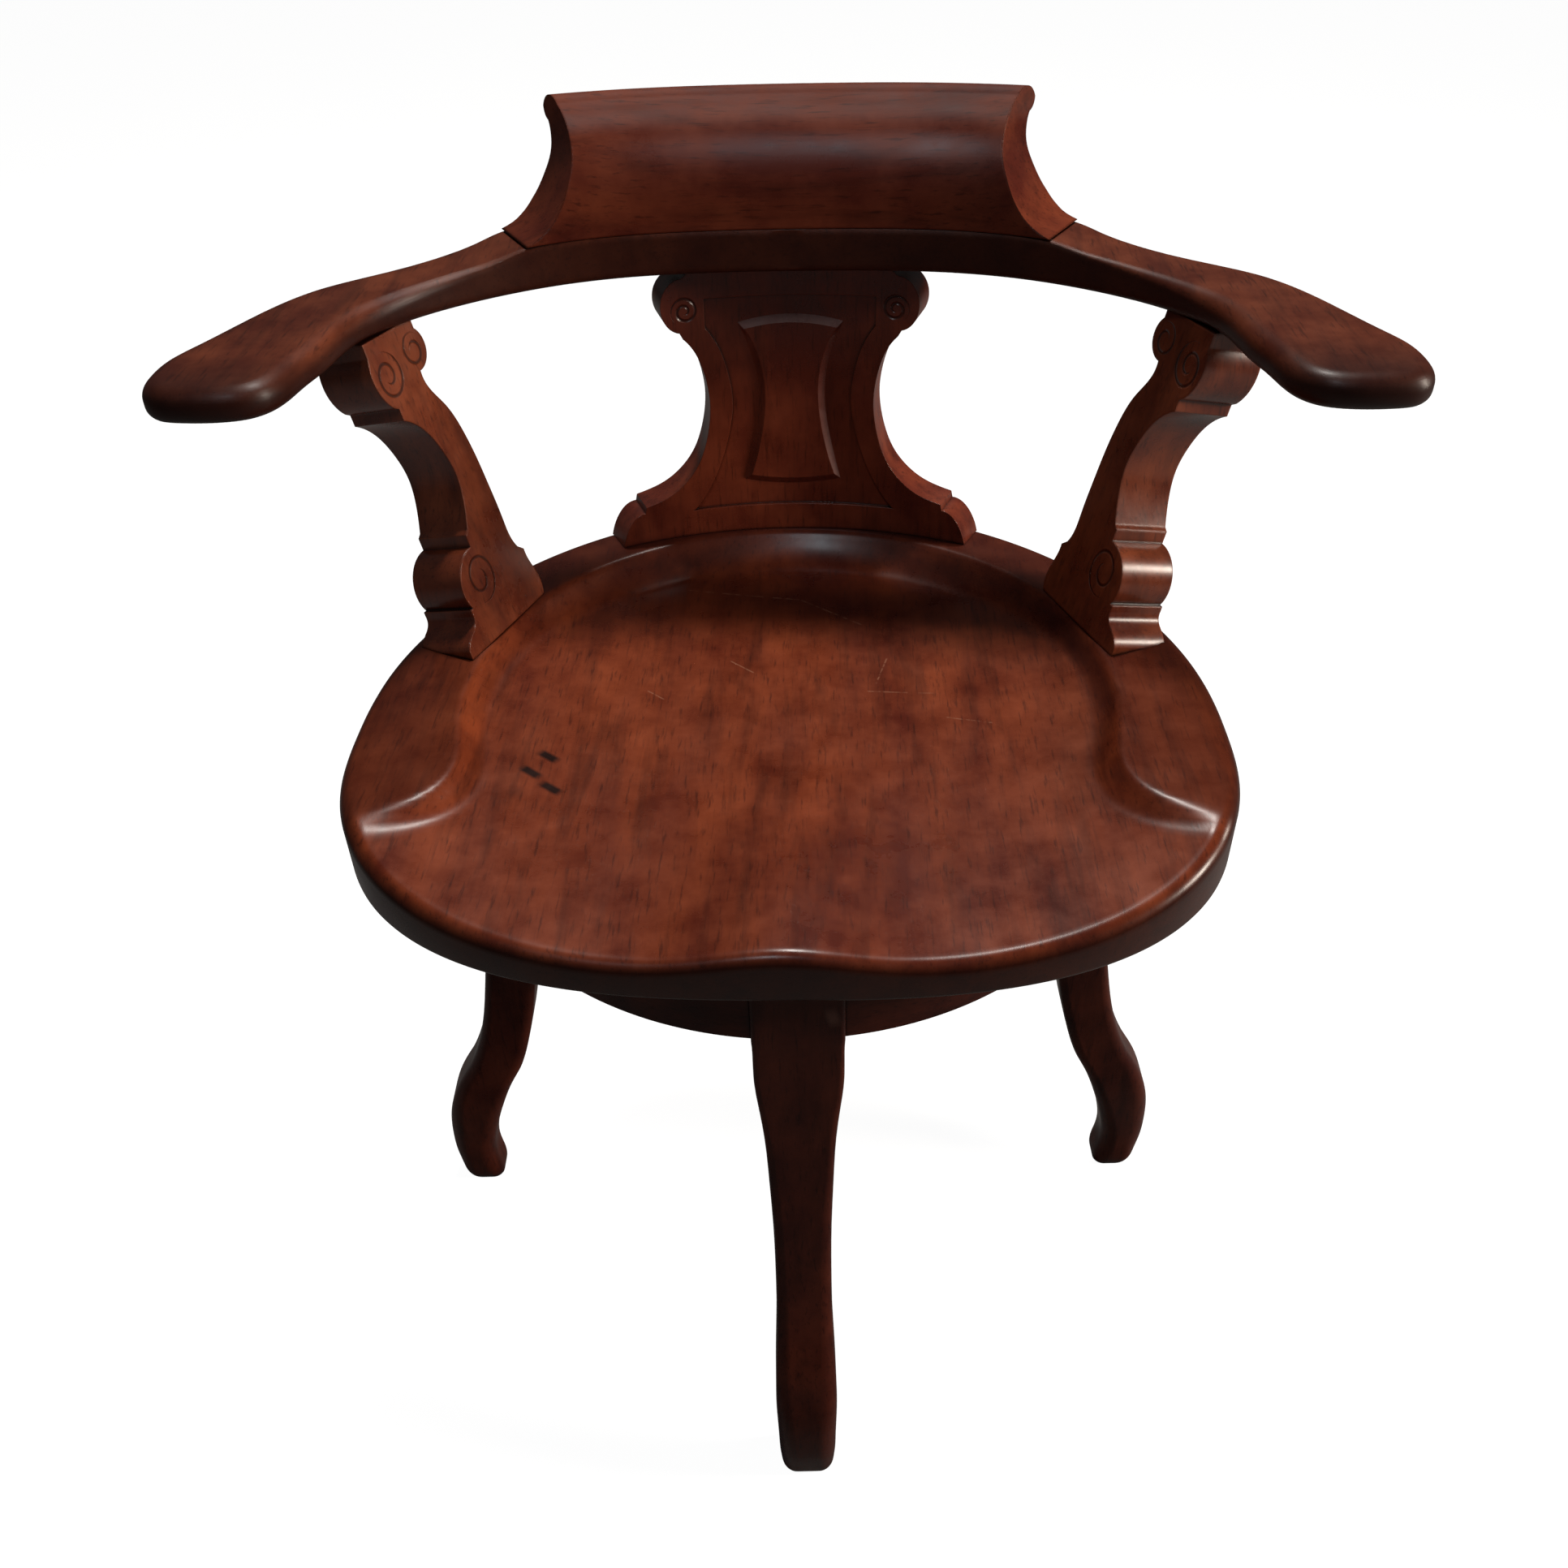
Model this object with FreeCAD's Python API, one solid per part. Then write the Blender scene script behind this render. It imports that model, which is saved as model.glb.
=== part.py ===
import FreeCAD
import Part
import math
import os

Vector = FreeCAD.Vector
UP = Vector(0, 0, 1)
DOWN = Vector(0, 0, -1)

# Driving dimensions in millimetres, with the floor at Z = 0, the swivel axis on Z
# and the sitter facing -Y

# Seat board
RIM_TOP = 470.0
SEAT_THICKNESS = 42.0
SEAT_HALF_WIDTH = 255.0
SEAT_WIDEST_Y = -42.0
SEAT_FRONT_REACH = 191.0
SEAT_BACK_REACH = 270.0
SEAT_FRONT_SQUARENESS = 2.7
SEAT_TOP_ROUND = 8.0
SEAT_BOTTOM_ROUND = 5.0

# Saddle hollow in the seat
SIDE_RIM = 59.0
BACK_RIM = 39.0
WAIST_PINCH = 9.0
WAIST_FORWARD = 44.0
SHOULDER_FLARE = 46.0
SHOULDER_DROP = 50.0
HOLLOW_DEPTH = 20.0
HOLLOW_WALL_RUN = 26.0
POMMEL_HEIGHT = 10.0
POMMEL_SPREAD = 50.0
POMMEL_LENGTH = 190.0
THIGH_OVER_RIM = 2.6

# Bow made of the two arms
BOW_BOTTOM = 660.0
BOW_THICKNESS = 26.0
BOW_OVERHANG = 62.0
BOW_BACK_WIDTH = 56.0
ARM_THICKNESS = 17.5
ARM_RAMP = 110.0
ARM_TOP_ROUND = 9.0
ARM_BOTTOM_ROUND = 6.0
BOW_REAR_ROUND = 5.0
BOW_REAR_BOTTOM_ROUND = 4.0
BOW_FRONT_ROUND = 1.2
BOW_FRONT_BOTTOM_ROUND = 2.5
ARM_TIP_REACH = 77.5
ARM_TIP_OUTSET = 50.5
ARM_TIP_WIDTH = 76.0

# Crest rail
CREST_HEIGHT = 71.0
CREST_BASE = 46.0
CREST_ROLL = 57.0
CREST_END_TURN = 60.0
CREST_SHOULDER = 45.0
CREST_SHOULDER_HEIGHT = 60.0

# Back splat
SPLAT_FRONT_RADIUS = 265.0
SPLAT_THICKNESS = 24.0
SPLAT_SETBACK = 35.5
SPLAT_TENON_THICKNESS = 10.0
SPLAT_SEAT_TENON_WIDTH = 190.0
SPLAT_SEAT_TENON_DEPTH = 22.0
SPLAT_BOW_TENON_WIDTH = 90.0
SPLAT_BOW_TENON_DEPTH = 9.0
GROUND_DEPTH = 2.5
PANEL_BEVEL = 5.0

# Arm supports
SUPPORT_THICKNESS = 38.0
SUPPORT_LEAN = 14.0
SUPPORT_TOE = 21.0
SUPPORT_INSET = 56.5
SUPPORT_BEHIND = 61.5

# Under-frame
SEAT_GAP = 4.0
DRUM_RADIUS = 206.0
APRON_DEPTH = 52.0
APRON_THICKNESS = 24.0
LEG_PROUD = 3.0
LEG_BLOCK_WIDTH = 51.0
LEG_BLOCK_DEPTH = 46.0
LEG_FLARE = 59.0
SOLE_WIDTH = 31.0
REST_TURN = 1.9

# Cross rails under the seat
RAIL_WIDTH = 40.0
RAIL_THICKNESS = 24.0
RAIL_DROP = 12.0
RAIL_HOUSING = 20.0

# Swivel ironwork
SPINDLE_RADIUS = 12.0
RUNNING_CLEARANCE = 0.06
SLEEVE_RADIUS = 19.0
SLEEVE_BELOW_RAIL = 3.0
SOCKET_PLATE_RADIUS = 62.0
SOCKET_PLATE_THICKNESS = 5.0
THRUST_RING_RADIUS = 30.0
SEAT_PLATE_RADIUS = 85.0
SEAT_PLATE_THICKNESS = 6.0
LIFT_GAP = 0.3
WASHER_RADIUS = 22.0
WASHER_THICKNESS = 3.0
NUT_ACROSS_FLATS = 34.0
NUT_THICKNESS = 13.0
PIN_RADIUS = 2.0

# Fasteners
FIT = 0.05
MORTISE_FIT = 0.15
DOWEL_RADIUS = 5.0
DOWEL_LENGTH = 40.0
BOW_DOWEL_RADIUS = 4.0
BOW_DOWEL_LENGTH = 50.0
SUPPORT_DOWEL_LENGTH = 1.4 * ARM_THICKNESS
WOOD_SCREW_RADIUS = 2.5
WOOD_SCREW_HEAD = 5.0
IRON_SCREW_LENGTH = 18.0
CREST_SCREW_LENGTH = 46.0
PLUG_RADIUS = 6.0
PLUG_DEPTH = 6.0
SUPPORT_SCREW_LENGTH = 70.0
SUPPORT_SCREW_SINK = 8.0

# Levels and places that follow from the dimensions above
SEAT_BACK_Y = SEAT_WIDEST_Y + SEAT_BACK_REACH
SEAT_FRONT_Y = SEAT_WIDEST_Y - SEAT_FRONT_REACH
HOLLOW_RADIUS = SEAT_HALF_WIDTH - SIDE_RIM
HOLLOW_CENTRE_Y = SEAT_BACK_Y - BACK_RIM - HOLLOW_RADIUS
HOLLOW_WAIST = HOLLOW_RADIUS - WAIST_PINCH
HOLLOW_WAIST_Y = SEAT_WIDEST_Y - WAIST_FORWARD
SUPPORT_CORNER_X = SEAT_HALF_WIDTH - SUPPORT_INSET
SUPPORT_CORNER_Y = SEAT_WIDEST_Y + SUPPORT_BEHIND
BOW_BACK_Y = SEAT_BACK_Y - BOW_OVERHANG
ARM_TIP_Y = SUPPORT_CORNER_Y - ARM_TIP_REACH
ARM_TIP_INNER_X = SUPPORT_CORNER_X + ARM_TIP_OUTSET
SPLAT_FRONT_Y = SEAT_BACK_Y - SPLAT_SETBACK
SEAT_BOTTOM = RIM_TOP - SEAT_THICKNESS
FRAME_TOP = SEAT_BOTTOM - SEAT_GAP
BLOCK_BOTTOM = FRAME_TOP - APRON_DEPTH
LEG_FACE = DRUM_RADIUS + LEG_PROUD
RAIL_TOP = FRAME_TOP - RAIL_DROP
RAIL_BOTTOM = RAIL_TOP - RAIL_THICKNESS
RAIL_END = LEG_FACE - LEG_BLOCK_DEPTH + RAIL_HOUSING
BOW_TOP = BOW_BOTTOM + BOW_THICKNESS
SPLAT_AXIS_Y = SPLAT_FRONT_Y - SPLAT_FRONT_RADIUS
SPLAT_HEIGHT = BOW_BOTTOM - RIM_TOP
SPLAT_MID_RADIUS = SPLAT_FRONT_RADIUS + SPLAT_THICKNESS / 2
SEAT_PLATE_BOTTOM = SEAT_BOTTOM - SEAT_PLATE_THICKNESS
SOCKET_PLATE_TOP = RAIL_TOP + SOCKET_PLATE_THICKNESS
SLEEVE_BOTTOM = RAIL_BOTTOM - SLEEVE_BELOW_RAIL
WASHER_TOP = SLEEVE_BOTTOM - LIFT_GAP
NUT_TOP = WASHER_TOP - WASHER_THICKNESS
NUT_BOTTOM = NUT_TOP - NUT_THICKNESS
PIN_Z = NUT_BOTTOM - PIN_RADIUS - 2.0
SPINDLE_BOTTOM = PIN_Z - 3 * PIN_RADIUS


# General helpers

def polar(radius, degrees, z=0.0):
    """Point at a radius and an angle round the Z axis."""
    angle = math.radians(degrees)
    return Vector(radius * math.cos(angle), radius * math.sin(angle), z)


def turned(shape, degrees):
    """Copy of a shape turned about the swivel axis."""
    result = shape.copy()
    result.rotate(Vector(0, 0, 0), UP, degrees)
    return result


def mirrored(shape):
    """The same piece for the other side of the chair."""
    return shape.mirror(Vector(0, 0, 0), Vector(1, 0, 0))


def spline(points, periodic=False):
    """Edge of a smooth curve through the points."""
    curve = Part.BSplineCurve()
    curve.interpolate(Points=points, PeriodicFlag=periodic)
    return curve.toShape()


def line(start, end):
    return Part.LineSegment(start, end).toShape()


def arc(start, middle, end):
    return Part.Arc(start, middle, end).toShape()


def prism(edges, direction):
    """Solid swept straight from a closed flat outline."""
    return Part.Face(Part.Wire(edges)).extrude(direction)


def cylinder(radius, bottom, top, x=0.0, y=0.0):
    return Part.makeCylinder(radius, top - bottom, Vector(x, y, bottom))


def slab(bottom, top, reach=900.0):
    """Wide block between two levels, used to trim pieces."""
    return Part.makeBox(2 * reach, 2 * reach, top - bottom, Vector(-reach, -reach, bottom))


def tidy(shape):
    """Single clean solid without the seams that joining leaves."""
    return shape.removeSplitter().Solids[0]


def group(shapes):
    return Part.makeCompound(shapes)


def export(node, shape):
    shape.exportStep("parts/" + node + ".step")


def screw(point, direction, length, radius, extra=0.0):
    """Countersunk wood screw, or with extra size the hole that it sits in."""
    head = 2 * radius + extra
    shank = radius + extra
    tip = 0.4 * radius + extra
    taper = 3 * radius
    profile = Part.makePolygon([
        Vector(0, 0, 0), Vector(head, 0, 0), Vector(shank, 0, radius),
        Vector(shank, 0, length - taper), Vector(tip, 0, length + extra),
        Vector(0, 0, length + extra), Vector(0, 0, 0)])
    solid = Part.Face(profile).revolve(Vector(0, 0, 0), UP, 360)
    solid.Placement = FreeCAD.Placement(point, FreeCAD.Rotation(UP, direction))
    return solid


def dowel(point, direction, radius, length, extra=0.0):
    """Round peg centred on a point, or with extra size its hole."""
    unit = Vector(direction).normalize()
    start = point - unit * (length / 2 + extra)
    return Part.makeCylinder(radius + extra, length + 2 * extra, start, unit)


# Seat board with its saddle hollow

def seat_edge_point(degrees, inset=0.0, z=0.0):
    """Point of the seat outline seen from its widest line, 90 degrees at the back."""
    angle = math.radians(degrees)
    across = abs(math.cos(angle)) / (SEAT_HALF_WIDTH - inset)
    if math.sin(angle) > 0:
        power = 2.0
        along = math.sin(angle) / (SEAT_BACK_REACH - inset)
    else:
        power = SEAT_FRONT_SQUARENESS
        along = -math.sin(angle) / (SEAT_FRONT_REACH - inset)
    reach = (across ** power + along ** power) ** (-1 / power)
    return Vector(reach * math.cos(angle), SEAT_WIDEST_Y + reach * math.sin(angle), z)


def hollow_wire(inset, z):
    """Outline of the hollow at one level: round at the back, open past the front edge."""
    radius = HOLLOW_RADIUS - inset
    open_x = SEAT_HALF_WIDTH + SIDE_RIM
    open_y = SEAT_FRONT_Y - SIDE_RIM
    waist = HOLLOW_WAIST - inset
    side = [
        Vector(radius, HOLLOW_CENTRE_Y, z),
        Vector(0.5 * (radius + waist) - 0.1 * WAIST_PINCH, 0.5 * (HOLLOW_CENTRE_Y + HOLLOW_WAIST_Y), z),
        Vector(waist, HOLLOW_WAIST_Y - 0.5 * inset, z),
        Vector(waist + 0.24 * SHOULDER_FLARE, HOLLOW_WAIST_Y - 0.56 * SHOULDER_DROP - 0.7 * inset, z),
        Vector(waist + SHOULDER_FLARE, HOLLOW_WAIST_Y - SHOULDER_DROP - 0.9 * inset, z),
        Vector(open_x, HOLLOW_WAIST_Y - 1.68 * SHOULDER_DROP - inset, z)]
    other = [Vector(-p.x, p.y, z) for p in side]
    other.reverse()
    front_right = Vector(open_x, open_y, z)
    front_left = Vector(-open_x, open_y, z)
    back = arc(other[-1], Vector(0, HOLLOW_CENTRE_Y + radius, z), side[0])
    return Part.Wire([
        back, spline(side), line(side[-1], front_right), line(front_right, front_left),
        line(front_left, other[0]), spline(other)])


def saddle_height(x, y):
    """Height of the hollow's floor: level in the middle, rising at the sides and at the pommel."""
    forward = (SEAT_FRONT_Y + POMMEL_LENGTH - y) / POMMEL_LENGTH
    forward = min(max(forward, 0.0), 1.0)
    fade = forward * forward * (3 - 2 * forward)
    pommel = POMMEL_HEIGHT * fade * math.exp(-(x / POMMEL_SPREAD) ** 2)
    side = (HOLLOW_DEPTH + THIGH_OVER_RIM) * (abs(x) / SEAT_HALF_WIDTH) ** 3
    return RIM_TOP - HOLLOW_DEPTH + pommel + side


def hollow_tool():
    """What is carved out of the seat: a coved wall down to the saddle-shaped floor."""
    levels = [(-0.12 * HOLLOW_WALL_RUN, 0.15 * HOLLOW_DEPTH),
              (0.08 * HOLLOW_WALL_RUN, -0.05 * HOLLOW_DEPTH),
              (0.4 * HOLLOW_WALL_RUN, -0.45 * HOLLOW_DEPTH),
              (HOLLOW_WALL_RUN, -0.85 * HOLLOW_DEPTH), (1.6 * HOLLOW_WALL_RUN, -1.2 * HOLLOW_DEPTH)]
    wires = [hollow_wire(inset, RIM_TOP + drop) for inset, drop in levels]
    carved = Part.makeLoft(wires, True, False)
    rows = []
    for column in range(-10, 11):
        x = 0.11 * SEAT_HALF_WIDTH * column
        places = [SEAT_FRONT_Y + (SEAT_BACK_Y - SEAT_FRONT_Y) * (0.098 * n - 0.14) for n in range(13)]
        rows.append([Vector(x, y, saddle_height(x, y)) for y in places])
    saddle = Part.BSplineSurface()
    saddle.interpolate(rows)
    return carved.common(saddle.toShape().extrude(UP * 4 * HOLLOW_DEPTH))


def on_seat_edge(edge, low):
    """True for the edges that run round the top of the seat's side."""
    middle = edge.valueAt((edge.FirstParameter + edge.LastParameter) / 2)
    degrees = math.degrees(math.atan2(middle.y - SEAT_WIDEST_Y, middle.x))
    outline = seat_edge_point(degrees, 0.0, middle.z)
    return middle.distanceToPoint(outline) < 1.0 and edge.BoundBox.ZMin > low


def seat_board(cuts):
    outline = spline([seat_edge_point(a) for a in range(90, 450, 15)], True)
    board = prism([outline], UP * SEAT_THICKNESS)
    board.translate(UP * SEAT_BOTTOM)
    board = board.cut(hollow_tool())
    board = board.makeFillet(SEAT_TOP_ROUND, [e for e in board.Edges if on_seat_edge(e, SEAT_BOTTOM + 5)])
    bottom = [e for e in board.Edges if e.BoundBox.ZMax < SEAT_BOTTOM + 1]
    board = board.makeFillet(SEAT_BOTTOM_ROUND, bottom)
    return tidy(board.cut(cuts))


# Bow: one smooth line runs up the inner edge from the centre back, round the tip of
# the arm and back down the outer edge

def bow_plan():
    """Points of that line, with the left side's neighbours at both ends for symmetry."""
    near_x = ARM_TIP_INNER_X
    far_x = ARM_TIP_INNER_X + ARM_TIP_WIDTH
    tip_y = ARM_TIP_Y
    near_run = BOW_BACK_Y - tip_y
    far_run = BOW_BACK_Y + BOW_BACK_WIDTH - tip_y
    # shares of the half width and of the length from the tip back to the centre
    inner_shares = [(0, 1), (0.233, 0.991), (0.450, 0.951), (0.632, 0.868), (0.787, 0.743),
                    (0.896, 0.606), (0.960, 0.460), (0.982, 0.301)]
    outer_shares = [(0.9955, 0.172), (0.972, 0.250), (0.923, 0.400), (0.843, 0.564), (0.7445, 0.656),
                    (0.643, 0.746), (0.5755, 0.818), (0.4925, 0.884), (0.4125, 0.932),
                    (0.203, 0.989), (0, 1)]
    inner = [(near_x * across, tip_y + near_run * back) for across, back in inner_shares]
    inner += [(near_x, tip_y + 46), (near_x + 4, tip_y + 24)]
    tip = [(near_x + 9, tip_y + 12.5), (near_x + 17.5, tip_y + 4.5), (near_x + 29, tip_y + 0.6),
           (far_x - 23, tip_y), (far_x - 10.5, tip_y + 3.2), (far_x - 3, tip_y + 12)]
    outer = [(far_x, tip_y + 27)]
    outer += [(far_x * across, tip_y + far_run * back) for across, back in outer_shares]
    before = [(-x, y) for x, y in reversed(inner[1:3])]
    after = [(-x, y) for x, y in reversed(outer[-3:-1])]
    return before, inner, tip, outer, after


def arm_line():
    """The line as a curve, its places where the edge rounds change, and those rounds, top and bottom."""
    before, inner, tip, outer, after = bow_plan()
    points = [Vector(x, y, BOW_BOTTOM) for x, y in before + inner + tip + outer + after]
    curve = Part.BSplineCurve()
    curve.interpolate(points)
    first = len(before)
    last = len(points) - len(after) - 1
    marks = [first, first + 3, first + 6, last - 7, last - 4, last]
    places = [curve.parameter(points[mark]) for mark in marks]
    tops = [BOW_FRONT_ROUND, BOW_FRONT_ROUND, ARM_TOP_ROUND, ARM_TOP_ROUND, BOW_REAR_ROUND, BOW_REAR_ROUND]
    lows = [BOW_FRONT_BOTTOM_ROUND, BOW_FRONT_BOTTOM_ROUND, ARM_BOTTOM_ROUND, ARM_BOTTOM_ROUND,
            BOW_REAR_BOTTOM_ROUND, BOW_REAR_BOTTOM_ROUND]
    return curve, places, tops, lows


def between(value, places, sizes):
    """Size at a value, in straight steps between the listed places."""
    for low, high, first, last in zip(places, places[1:], sizes, sizes[1:]):
        if value <= high:
            share = max(value - low, 0.0) / (high - low)
            return first + share * (last - first)
    return sizes[-1]


def rounded_board(board, rounds):
    """Board with a round on each listed edge that grows from one size to another."""
    work = FreeCAD.newDocument()
    plain = work.addObject("Part::Feature", "Plain")
    plain.Shape = board
    rounded = work.addObject("Part::Fillet", "Rounded")
    rounded.Base = plain
    rounded.Edges = rounds
    work.recompute()
    result = rounded.Shape.copy()
    FreeCAD.closeDocument(work.Name)
    return result


def arm(cuts):
    """Right half of the bow: thick under the crest, then thinner out to the rounded tip."""
    curve, places, tops, lows = arm_line()
    edges = [curve.toShape(low, high) for low, high in zip(places, places[1:])]
    outline = edges + [line(edges[-1].lastVertex().Point, edges[0].firstVertex().Point)]
    board = prism(outline, UP * BOW_THICKNESS).cut(arm_top_cutter())
    rounds = []
    for number, candidate in enumerate(board.Edges, 1):
        ends = []
        for share in (0.0, 0.5, 1.0):
            span = candidate.LastParameter - candidate.FirstParameter
            point = candidate.valueAt(candidate.FirstParameter + share * span)
            flat = Vector(point.x, point.y, BOW_BOTTOM)
            place = curve.parameter(flat)
            ends.append((place, curve.value(place).distanceToPoint(flat), point.z))
        on_line = max(away for place, away, z in ends) < 0.2
        if on_line and abs(ends[0][0] - ends[2][0]) > 1e-4:
            sizes = lows if ends[1][2] < BOW_BOTTOM + 1 else tops
            rounds.append((number, between(ends[0][0], places, sizes), between(ends[2][0], places, sizes)))
    return tidy(rounded_board(board, rounds).cut(cuts))


def end_prism(curve, corners):
    """Prism run through the bow in the direction in which the crest's right-hand end is cut.
    Its profile, a curve closed by straight lines, is (outward, upward) from the crest's end."""
    before, inner, tip, outer, after = bow_plan()
    turn = math.radians(CREST_END_TURN)
    along = Vector(math.cos(turn), math.sin(turn), 0)
    outward = Vector(math.sin(turn), -math.cos(turn), 0)
    reach = 2 * SEAT_HALF_WIDTH
    foot = Vector(inner[3][0], inner[3][1], BOW_TOP) - along * reach / 2
    points = [foot + outward * out + UP * high for out, high in curve]
    closing = points[-1:] + [foot + outward * out + UP * high for out, high in corners] + points[:1]
    return prism([spline(points)] + [line(p, q) for p, q in zip(closing, closing[1:])], along * reach)


def arm_top_cutter():
    """Takes the top of the bow down from the crest's end to the thinner arm."""
    drop = ARM_THICKNESS - BOW_THICKNESS
    run = ARM_RAMP
    far = 2 * SEAT_HALF_WIDTH
    curve = [(-0.22 * run, 0), (-0.11 * run, 0.04 * drop), (0, 0.16 * drop), (0.13 * run, 0.48 * drop),
             (0.3 * run, 0.72 * drop), (0.6 * run, 0.91 * drop), (run, 0.985 * drop),
             (1.5 * run, drop), (far, drop)]
    return end_prism(curve, [(far, -drop), (-0.22 * run, -drop)])


# Crest rail standing on the back of the bow

def crest_section(start, across):
    """Section of the crest: hollow front face, lip rolled back, plain rear."""

    def at(depth, height):
        return start + across * depth + UP * height

    high = CREST_HEIGHT
    lip = CREST_ROLL
    front = spline([at(0, 0), at(1.5, 0.20 * high), at(6, 0.40 * high), at(0.25 * lip, 0.62 * high),
                    at(0.46 * lip, 0.82 * high), at(0.70 * lip, 0.955 * high)])
    roll = arc(at(0.70 * lip, 0.955 * high), at(0.92 * lip, 0.985 * high), at(lip, 0.90 * high))
    under = arc(at(lip, 0.90 * high), at(lip - 1.5, 0.845 * high), at(lip - 6, 0.80 * high))
    rear = spline([at(lip - 6, 0.80 * high), at(CREST_BASE - 3, 0.58 * high),
                   at(CREST_BASE - 4, 0.30 * high), at(CREST_BASE, 0)])
    return Part.Wire([front, roll, under, rear, line(at(CREST_BASE, 0), at(0, 0))])


def crest_end_cutter():
    """Removes what lies outside the swept right-hand end of the crest."""
    side = -CREST_SHOULDER
    rise = CREST_SHOULDER_HEIGHT
    far = 2 * CREST_SHOULDER
    high = 1.4 * rise
    curve = [(0, 0), (0.24 * side, 0.075 * rise), (0.40 * side, 0.15 * rise), (0.62 * side, 0.32 * rise),
             (0.77 * side, 0.5 * rise), (0.89 * side, 0.67 * rise), (0.96 * side, 0.83 * rise),
             (side, rise), (side, high)]
    return end_prism(curve, [(far, high), (far, -rise), (0, -rise)])


def crest_rail(cuts):
    before, inner, tip, outer, after = bow_plan()
    curve, places, tops, lows = arm_line()
    right = []
    for x, y in inner[:6]:
        tangent = curve.tangent(curve.parameter(Vector(x, y, BOW_BOTTOM)))[0]
        right.append((Vector(x, y, BOW_TOP), Vector(-tangent.y, tangent.x, 0).normalize()))
    left = [(Vector(-p.x, p.y, p.z), Vector(-a.x, a.y, 0)) for p, a in right[1:]]
    left.reverse()
    body = Part.makeLoft([crest_section(p, a) for p, a in left + right], True, False)
    cutter = crest_end_cutter()
    body = body.cut(cutter).cut(mirrored(cutter))
    return tidy(body.cut(cuts))


# Back splat: an outline wrapped on an upright cylinder, cut square to its face

def splat_point(across, height, plane):
    """Point on the ray from the splat's axis, at a distance of plane behind that axis."""
    angle = across / SPLAT_FRONT_RADIUS
    return Vector(plane * math.tan(angle), SPLAT_AXIS_Y + plane, RIM_TOP + height)


def radial_prism(outline, near=None, far=None, spread=0.0):
    """Solid whose sides point at the splat's axis. The outline lists (kind, points) edges."""
    near = near or 0.75 * SPLAT_FRONT_RADIUS
    far = far or 1.25 * SPLAT_FRONT_RADIUS
    wires = []
    for plane in (near, far):
        edges = []
        for kind, points in outline:
            placed = [splat_point(a, h, plane) for a, h in points]
            if kind == "curve":
                edges.append(spline(placed))
            else:
                edges += [line(p, q) for p, q in zip(placed, placed[1:])]
        wires.append(Part.Wire(edges))
    return Part.makeLoft(wires, True, True)


def mirrored_outline(right_side):
    """Closes a right-hand run of edges, bottom to top, with its mirror image."""
    left_side = []
    for kind, points in reversed(right_side):
        left_side.append((kind, [(-a, h) for a, h in reversed(points)]))
    bottom = right_side[0][1][0]
    top = right_side[-1][1][-1]
    return (right_side + [("line", [top, (-top[0], top[1])])] + left_side
            + [("line", [(-bottom[0], bottom[1]), bottom])])


def splat_shell(inner, outer, bottom, top):
    ring = Part.makeCylinder(outer, top - bottom, Vector(0, SPLAT_AXIS_Y, bottom))
    bore = Part.makeCylinder(inner, top - bottom, Vector(0, SPLAT_AXIS_Y, bottom))
    corner = Vector(-2 * outer, SPLAT_AXIS_Y - 2 * outer, 0)
    front_half = Part.makeBox(4 * outer, 2 * outer, 2 * top, corner)
    return ring.cut(bore).cut(front_half)


def splat_outline():
    high = SPLAT_HEIGHT
    return mirrored_outline([
        ("curve", [(124, 0), (122, 7), (118, 15), (112, 21), (106, 22.5)]),
        ("line", [(106, 22.5), (105, 27)]),
        ("curve", [(105, 27), (94, 29.5), (83, 34), (73, 42), (65, 53), (60, 66), (56.5, 82),
                   (55.5, 98), (56.5, 108), (59, 120), (63, 131), (71, 142)]),
        ("line", [(71, 142), (73, 146)]),
        ("curve", [(73, 146), (80, 150), (84, 158), (83.5, 170), (78, 178), (70, 181)]),
        ("line", [(70, 181), (66, 184), (66, high)])])


def ground_outline():
    return mirrored_outline([
        ("line", [(72, 19), (70, 19.5)]),
        ("curve", [(70, 19.5), (59, 34), (48, 58), (42, 80), (40, 97), (42, 115), (46, 130), (56, 148)]),
        ("line", [(56, 148), (56, 167)])])


def panel_outline(grow):
    return mirrored_outline([
        ("curve", [(32 + grow, 39 - grow), (25 + grow, 62), (20 + grow, 86), (19 + grow, 104),
                   (23 + grow, 126), (34 + grow, 149 + grow)]),
        ("line", [(34 + grow, 149 + grow), (33 + grow, 149 + grow)])])


def splat_tenons(extra):
    """Tenon into the seat and tenon into the bow, or with extra size their mortises."""
    half = SPLAT_TENON_THICKNESS / 2 + extra
    pieces = []
    for width, bottom, top in (
            (SPLAT_SEAT_TENON_WIDTH, RIM_TOP - SPLAT_SEAT_TENON_DEPTH - extra, RIM_TOP + 1),
            (SPLAT_BOW_TENON_WIDTH, BOW_BOTTOM - 1, BOW_BOTTOM + SPLAT_BOW_TENON_DEPTH + extra)):
        shell = splat_shell(SPLAT_MID_RADIUS - half, SPLAT_MID_RADIUS + half, bottom, top)
        wide = width / 2 + extra
        block = Part.makeBox(2 * wide, 2 * SPLAT_FRONT_RADIUS, top - bottom, Vector(-wide, 0, bottom))
        pieces.append(shell.common(block))
    return pieces


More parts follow.
